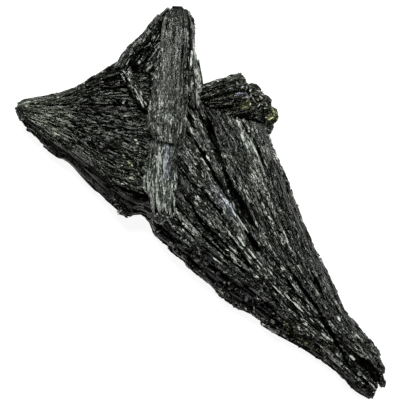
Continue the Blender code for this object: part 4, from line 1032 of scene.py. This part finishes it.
# Painted light and shade on the laths, and a painted violet-blue sheen on a bright plate.
lath_patches = {
    "lilac": ((1.3, 0.6, (3.0, 2.4), (6.6, -2.4)),),
    "tone": (
        (1.6, -0.6, (0.4, 4.4), (2.0, -2.0), (2.0, -9.0)),
        (1.6, -0.7, (10.4, -14.0), (14.6, -19.0)), (1.2, 0.8, (18.6, -20.0), (22.4, -24.2)),
        (1.6, -0.5, (13.0, -6.0), (14.6, -11.0)), (1.8, -0.4, (-3.4, 8.0), (-2.6, -1.0)),
        (0.9, -0.9, (-1.4, 16.0), (-0.6, 12.0)), (1.4, 1.3, (-3.0, 16.4), (-1.2, 12.4)),
        (1.2, 0.6, (4.4, 0.2), (7.0, -2.8)), GROOVE_GLEAM,
        (1.4, -1.3, (0.4, 19.6), (2.6, 16.0)), (1.4, -0.8, (-3.0, -2.4), (-0.8, -4.8)),
        (1.2, -0.8, (-6.0, 3.4), (-2.0, -3.0), (6.6, -11.0)),
        (1.2, -1.5, (-5.4, 6.0), (-4.4, 0.6)), (1.2, -0.7, (-2.4, -2.8), (-1.2, -5.0)),
        (0.9, -0.7, (2.0, -4.6), (5.4, -9.0)), (0.9, 0.6, (-0.4, 2.0), (2.6, 0.4)),
        TIP_SHADE, (0.9, -0.7, (10.4, -13.4), (12.6, -19.0)),
        (0.8, 0.7, (20.6, -19.6), (26.0, -23.4)), LOWER_LATHS_SHADE,
        (1.6, -0.7, (0.4, -8.0), (3.0, -14.0)), (1.5, -0.8, (15.0, -19.8), (18.0, -22.6)),
        (1.5, -0.8, (22.4, -26.4), (30.6, -32.4)), (0.9, -2.4, (33.2, -32.2), (35.0, -34.4)),
    ),
}
make_piece("right_fan_laths", lath_sets, right_finish, lath_patches, RIGHT_GROOVES)

# Painted highlights: bright plates and specks on the sheet, with high tones.
SHEET_PLATES = (
    (8.6, 12.6, 2.4, 0.6, 0.2, 0.2, 1.6), (9.2, 11.4, 1.8, 0.4, 0.2, 0.3, 1.9),
    (7.6, 15.4, 1.8, 0.5, 0.2, 0.1, 1.2), (6.0, 15.8, 2.0, 0.6, 0.2, 0.1, 1.0),
    (10.8, 4.4, 3.0, 0.5, 0.1, 0.3, 1.6), (13.9, -3.1, 0.9, 0.5, 0.2, 0.3, 3.4),
    (14.6, -4.4, 0.8, 0.4, 0.2, 0.3, 2.6), (9.6, 0.6, 1.6, 0.3, 0.2, 0.3, 2.4),
    (27.6, -23.2, 1.0, 0.5, 0.2, 0.3, 3.2), (31.2, -26.4, 2.8, 0.6, 0.1, 0.3, 2.2),
    (32.0, -27.4, 1.6, 0.4, 0.1, 0.3, 2.4), (30.5, -31.2, 1.2, 0.5, 0.2, 0.3, 2.6),
)
sheet_sets = [
    lay_fibres(sheet, 420, (0.27, 0.49), width=(0.25, 0.7), length=(2.0, 8.0), rise=(-0.3, 0.02),
               roll=0.2, tone=(0.1, 0.4)),
    lay_chips(sheet, 2900, (0.27, 0.49), width=(0.14, 0.4), length=(0.5, 2.8), rise=(-0.2, 0.1),
              roll=0.3, pitch=0.06, yaw=0.15, tone=(-0.25, 0.75)),
    lay_chips(sheet, 120, (0.485, 0.505), loose=True, width=(0.3, 0.7), length=(0.6, 2.0),
              rise=(-0.05, 0.25), roll=0.2, tone=(0.2, 0.9)),
    set_blades(sheet, SHEET_PLATES),
]
# Painted light and shade on the sheet.
sheet_patches = {
    "tone": (
        (2.0, -0.8, (17.0, 3.4), (20.4, -5.0), (27.6, -18.0)),
        (1.8, -0.8, (28.0, -20.0), (34.4, -29.4)), (0.9, 0.7, (9.2, 12.4), (10.4, 7.0)),
        (0.9, 0.6, (20.8, -21.4), (23.6, -24.0)),
        (1.6, -2.0, (-0.4, 20.4), (2.0, 18.0), (3.4, 15.0)), (0.8, 1.0, (4.6, 15.6), (9.6, 14.6)),
        (1.2, -0.8, (13.2, 6.0), (15.6, 0.0), (17.6, -5.0), (19.6, -9.0)),
        (1.4, -0.7, (20.0, -11.6), (21.0, -14.0)), (1.0, 0.7, (11.6, -6.4), (13.6, -10.4)),
        (1.4, 0.4, (8.6, 12.0), (11.6, 6.0)), (0.9, 0.8, (20.4, -20.0), (22.6, -22.6)),
        (1.3, -0.8, (15.4, 2.0), (18.0, -3.0), (21.6, -13.0)),
        (1.2, -0.7, (29.0, -21.6), (33.6, -27.6)), (1.2, 0.5, (9.6, 10.4), (12.0, 6.4)),
        GROOVE_GLEAM, (1.4, 0.6, (9.6, 13.4), (12.8, 3.0)),
        (1.8, -1.6, (5.4, 12.4), (8.0, 6.4)),
    ),
}
make_piece("right_fan_sheet", sheet_sets,
           kyanite("sheet_kyanite", streaks=1.5, grain=0.9, facets=0.25),
           sheet_patches, RIGHT_GROOVES)

# Painted light: pale rims along the flank's lower ledges, which face up.
FLANK_RIM = (
    (-0.6, -14.5, 3.0, 0.3, 0.1, 0.2, 1.0), (1.4, -16.0, 3.4, 0.3, 0.1, 0.2, 1.3),
    (3.2, -17.6, 2.6, 0.3, 0.1, 0.2, 1.3), (13.4, -24.9, 3.4, 0.3, 0.1, 0.2, 1.2),
    (16.6, -26.7, 3.4, 0.3, 0.1, 0.2, 1.4), (19.4, -28.2, 3.0, 0.3, 0.1, 0.2, 1.2),
    (22.6, -30.2, 3.4, 0.25, 0.1, 0.2, 0.8), (25.6, -32.2, 3.0, 0.25, 0.1, 0.2, 0.6),
)
# Painted shade: near-black fibres and chips on the flank, which is turned from the light.
flank_sets = [
    lay_fibres(laths, 260, (-0.02, 0.09), width=(0.4, 1.2), length=(1.5, 5.0), rise=(-0.6, 0.0),
               roll=0.4, tone=(-2.0, 0.5)),
    lay_chips(laths, 2900, (-0.02, 0.09), width=(0.2, 0.45), length=(0.25, 0.9), rise=(-0.6, 0.0),
              roll=0.5, pitch=0.1, yaw=0.45, tone=(-2.2, 1.2)),
    lay_chips(laths, 950, (-0.01, 0.09), width=(0.25, 0.55), length=(0.3, 1.0), rise=(-0.4, 0.1),
              roll=0.4, pitch=0.1, yaw=0.5, tone=(0.2, 1.7)),
    lay_chips(laths, 170, (-0.03, 0.012), loose=True, width=(0.4, 1.0), length=(0.6, 2.2),
              rise=(-0.05, 0.3), roll=0.3, pitch=0.05, yaw=0.15, tone=(0.3, 1.0)),
    lay_chips(laths, 130, (0.0, 0.05), reach=(0.62, 0.8), loose=True, width=(0.2, 0.5),
              length=(0.3, 0.9), roll=0.8, yaw=0.8, tone=(-0.2, 0.8), crust=0.9),
    set_blades(laths, FLANK_RIM),
]
# Painted light along the flank's rims, painted shade along its lower laths and near the tip. The
# crust is the stone's own colour.
flank_patches = {
    "tone": (
        (1.0, 0.7, (-1.0, -13.6), (3.0, -16.4), (10.0, -20.6)),
        (1.0, 0.8, (20.0, -27.0), (24.4, -29.8)),
        (1.8, -0.9, *LOWER_LATHS_SHADE[2:]), TIP_SHADE,
    ),
    "crust": (
        (1.0, 0.6, (15.6, -23.6), (18.8, -25.6)), (1.0, 0.35, (-7.0, -5.0), (-3.0, -8.4)),
    ),
}
make_piece("right_fan_flank", flank_sets,
           kyanite("flank_kyanite", streaks=1.4, grain=1.9, facets=0.3, shine=0.06),
           flank_patches, RIGHT_GROOVES)

under_sets = [
    lay_fibres(laths, 800, UNDERSIDE, width=(0.5, 1.2), length=(4.0, 14.0), rise=(-0.25, 0.2),
               tone=(-0.3, 0.5)),
]
make_piece("right_fan_underside", under_sets, right_finish)


# The stub cluster: short round columns, each a bundle of fibres, that lean out from behind the
# right fan's upper edge. Their ends are knobbly and carry a yellow-green crust.

STUB_BED = {
    "low_edge": [(-5.0, 16.0, 8.4, 3.0), (5.0, 14.6, 6.6, 3.0), (13.8, 14.4, 4.8, 3.2)],
    "middle": [(-5.0, 20.0, 8.8, 3.0), (6.0, 19.4, 7.4, 3.0), (14.0, 18.4, 5.6, 3.2)],
    "high_edge": [(-5.0, 22.2, 8.4, 4.6), (5.0, 23.6, 7.4, 4.8), (9.0, 24.0, 6.8, 5.0)],
}
BED_SHARES = (0.0, 0.5, 1.0)

# A column is its start, its end and the radius at each. Towards its end it swells and rounds
# off: the girths are shares of its radius.
STUB_COLUMNS = (
    ((-2.4, 20.4, 8.4), (9.2, 24.4, 8.6), 1.8, 1.7),
    ((-2.4, 19.6, 7.8), (12.1, 22.6, 7.8), 1.3, 1.35),
    ((-2.0, 19.0, 7.2), (14.4, 20.1, 6.8), 1.3, 1.5),
    ((-1.0, 17.8, 6.6), (15.8, 17.2, 5.8), 1.4, 1.7),
    ((0.6, 16.6, 5.8), (14.6, 14.6, 4.8), 1.3, 1.4),
    ((2.0, 19.8, 9.0), (9.8, 20.6, 9.2), 0.9, 1.3),
    ((4.0, 18.0, 8.2), (12.4, 17.6, 8.0), 0.9, 1.4),
    ((4.0, 17.2, 8.6), (10.4, 18.6, 8.8), 0.9, 1.2),
)
KNOB_PLACES = (0.0, 0.5, 0.8, 0.9, 0.95, 0.98, 1.0)
KNOB_GIRTHS = (1.0, 1.0, 1.04, 1.0, 0.86, 0.6, 0.15)
STUB_KNOTS = (
    (14.2, 17.6, 6.8, 1.3, 1.4, 1.2), (13.4, 15.2, 6.0, 1.3, 1.1, 1.3),
    (11.4, 21.2, 8.2, 1.3, 1.1, 1.2), (8.6, 23.0, 9.0, 1.3, 1.0, 1.0),
    (12.4, 19.0, 8.4, 1.2, 1.0, 1.0), (9.0, 19.6, 9.4, 1.2, 1.0, 0.9),
)


def column_skin(start, end, start_radius, end_radius, rng, rows=44, lanes=36):
    """A round column's skin, with five broad flutes and nine finer ones along its fibres, and
    lumps on its rounded end, where its rings lie closer together."""
    start, end = np.array(start), np.array(end)
    axis = (end - start) / np.linalg.norm(end - start)
    side = np.cross((0.0, 0.0, 1.0), axis)
    side /= np.linalg.norm(side)
    up = np.cross(axis, side)
    share = np.linspace(0, 1, rows) ** 0.75
    angle = 2 * np.pi * np.arange(lanes) / lanes
    flutes = 1 + 0.1 * np.sin(angle[None, :] * 5 + rng.uniform(0, 6))
    flutes = flutes + 0.06 * np.sin(angle[None, :] * 9 + 3 * share[:, None] + rng.uniform(0, 6))
    lumps = 0.1 * np.sin(share[:, None] * 31 + angle * 2 + rng.uniform(0, 6)) * share[:, None] ** 4
    radius = start_radius + (end_radius - start_radius) * share
    radius = radius * np.interp(share, KNOB_PLACES, KNOB_GIRTHS)
    spoke = side * np.cos(angle)[:, None] + up * np.sin(angle)[:, None]
    centre = start + (end - start) * share[:, None]
    return centre[:, None] + spoke[None] * (radius[:, None] * (flutes + lumps))[..., None]


rng = np.random.default_rng(17)
stub_bed_skin = fan_skin(STUB_BED, BED_SHARES, stations=50, lanes=40)
stub_bed = split_skin(stub_bed_skin, rng, count=20, height=0.3)
# Painted shade: the bed between the columns is dark.
stub_sets = [bed(stub_bed, depth=0.2),
             lay_fibres(stub_bed, 160, ALL_ROUND, width=(0.3, 0.8), length=(2.0, 7.0),
                        rise=(-0.3, -0.1), tone=(-1.8, 0.5))]
for column in STUB_COLUMNS:
    growth = split_skin(column_skin(*column, rng), rng, count=14, height=0.08, gaps=0.4, depth=0.5,
                        slim=(0.1, 0.3))
    stub_sets += [
        bed(growth, depth=0.15, flat=False),
        lay_fibres(growth, 50, ALL_ROUND, reach=(0.0, 0.9), width=(0.25, 0.6), length=(1.5, 6.0),
                   rise=(-0.15, 0.0), roll=0.15, tone=(-1.4, 0.5), sink=0.3),
        # Painted light: pale fibres along each column's side towards the top, where the key light
        # falls.
        lay_fibres(growth, 22, (-0.07, 0.12), reach=(0.2, 0.95), loose=True, width=(0.2, 0.4),
                   length=(0.8, 3.0), rise=(-0.02, 0.08), roll=0.2, tone=(1.0, 0.6), sink=0.3),
        lay_chips(growth, 200, (-0.1, 0.6), reach=(0.1, 0.9), loose=True, width=(0.14, 0.4),
                  length=(0.4, 1.6), rise=(-0.12, 0.04), roll=0.25, tone=(-1.8, 0.6), sink=0.3),
        lay_chips(growth, 170, ALL_ROUND, reach=(0.78, 1.0), loose=True, width=(0.2, 0.5),
                  length=(0.3, 0.8), rise=(-0.15, 0.0), roll=0.35, yaw=0.5, tone=(-0.4, 1.2),
                  sink=0.3, crust=0.34),
    ]
stub_sets += knots(STUB_KNOTS, rng, 150, tone=(-0.8, 1.5), roll=0.5, yaw=0.6, crust=0.36)
# The crust is the stone's own colour. A painted sheen and highlight on one column's end, painted
# shade on the sunk face between the columns, painted light along their upper rims.
stub_patches = {
    "crust": (
        (0.7, 1.6, (8.6, 19.6), (8.9, 19.4)), (0.9, 1.1, (14.8, 18.6), (15.2, 16.0)),
        (0.8, 0.6, (4.8, 21.4), (6.4, 21.2)),
    ),
    "lilac": ((0.8, 1.6, (7.6, 22.0), (8.4, 21.6)),),
    "tone": (
        (0.8, 1.0, (7.6, 22.0), (8.4, 21.6)), (2.4, -1.2, (1.0, 19.6), (8.0, 18.0)),
        (0.6, 1.2, (1.4, 23.0), (4.4, 24.8), (8.6, 25.6)),
    ),
}
make_piece("stub_columns", stub_sets,
           kyanite("stub_kyanite", streaks=1.6, shine=0.2, gleam=(0.95, 1.0, 0.85)), stub_patches)


# The tip: three splintered prongs that end the right fan, with a hollow between them that is
# dark with painted shade.

TIP_PRONGS = (
    ((33.6, -28.6, 4.6), (36.9, -34.4, 3.9), 1.0, 0.6),
    ((34.4, -31.0, 3.8), (37.0, -37.2, 3.2), 0.7, 0.55),
    ((29.0, -33.6, 3.0), (35.0, -39.0, 2.9), 1.5, 0.8),
    ((30.0, -31.6, 3.8), (35.6, -37.4, 3.2), 1.0, 0.6),
)

rng = np.random.default_rng(18)
prong_sets = []
for prong in TIP_PRONGS:
    growth = split_skin(column_skin(*prong, rng, rows=30, lanes=24), rng, count=10, height=0.08,
                        gaps=0.4, depth=0.4)
    prong_sets += [
        bed(growth, depth=0.1, flat=False),
        lay_fibres(growth, 60, ALL_ROUND, width=(0.2, 0.4), length=(1.0, 4.0), rise=(-0.1, 0.02),
                   tone=(-0.5, 0.6), sink=0.25),
        lay_chips(growth, 260, ALL_ROUND, loose=True, width=(0.14, 0.4), length=(0.3, 1.3),
                  rise=(-0.1, 0.05), roll=0.5, yaw=0.3, tone=(-0.2, 1.0), sink=0.25),
    ]
# Painted shade in the hollow between the prongs and beside it.
tip_patches = {
    "tone": (
        (1.3, -2.4, (33.4, -32.4), (35.2, -34.6)), (1.2, -0.6, (36.0, -35.0), (36.8, -37.4)),
    ),
}
make_piece("tip_prongs", prong_sets, kyanite("tip_kyanite"), tip_patches)


# The set: a plain pale floor, a large soft light from the top of the picture, a wide one
# overhead, and a camera that looks straight down, as the photo does.

# The set is in metres.
FLOOR_SIZE = 4.0
FLOOR_GREY, FLOOR_ROUGHNESS, FLOOR_GLOW = 0.3, 0.9, 0.92
SURROUND_LIGHT = 0.05
CAMERA_HEIGHT = 0.8
VIEW_WIDTH = 0.080
VIEW_CENTRE = (-0.00021, 0.00048)
VIEW_PLANE = 0.008
SENSOR_WIDTH = 36.0

floor_mesh = bpy.data.meshes.new("floor")
edge = FLOOR_SIZE / 2
floor_mesh.from_pydata([(-edge, -edge, 0), (edge, -edge, 0), (edge, edge, 0), (-edge, edge, 0)],
                       [], [(0, 1, 2, 3)])
floor = bpy.data.objects.new("floor", floor_mesh)
bpy.context.scene.collection.objects.link(floor)
floor_finish = bpy.data.materials.new("pale_floor")
floor_finish.use_nodes = True
floor_shader = floor_finish.node_tree.nodes["Principled BSDF"]
floor_shader.inputs["Base Color"].default_value = (FLOOR_GREY, FLOOR_GREY, FLOOR_GREY, 1)
floor_shader.inputs["Roughness"].default_value = FLOOR_ROUGHNESS
floor_shader.inputs["Emission Color"].default_value = (1, 1, 1, 1)
floor_shader.inputs["Emission Strength"].default_value = FLOOR_GLOW
floor_mesh.materials.append(floor_finish)


def softbox(name, place, size, power):
    """A square soft light at a place, turned to the middle of the object."""
    lamp = bpy.data.lights.new(name, "AREA")
    lamp.size = size
    lamp.energy = power
    made = bpy.data.objects.new(name, lamp)
    made.location = place
    made.rotation_euler = (-made.location).to_track_quat("-Z", "Y").to_euler()
    made.visible_camera = False
    bpy.context.scene.collection.objects.link(made)


softbox("key_light", (-0.10, 0.52, 0.66), size=0.30, power=8.0)
softbox("side_light", (0.62, 0.20, 0.80), size=0.35, power=4.5)

world = bpy.data.worlds.new("studio")
bpy.context.scene.world = world
world.use_nodes = True
surround = world.node_tree.nodes["Background"]
surround.inputs["Color"].default_value = (1, 1, 1, 1)
surround.inputs["Strength"].default_value = SURROUND_LIGHT

lens = bpy.data.cameras.new("camera")
lens.sensor_width = SENSOR_WIDTH
lens.lens = SENSOR_WIDTH * (CAMERA_HEIGHT - VIEW_PLANE) / VIEW_WIDTH
camera = bpy.data.objects.new("camera", lens)
camera.location = (*VIEW_CENTRE, CAMERA_HEIGHT)
bpy.context.scene.collection.objects.link(camera)
bpy.context.scene.camera = camera
bpy.context.scene.view_settings.view_transform = "Standard"
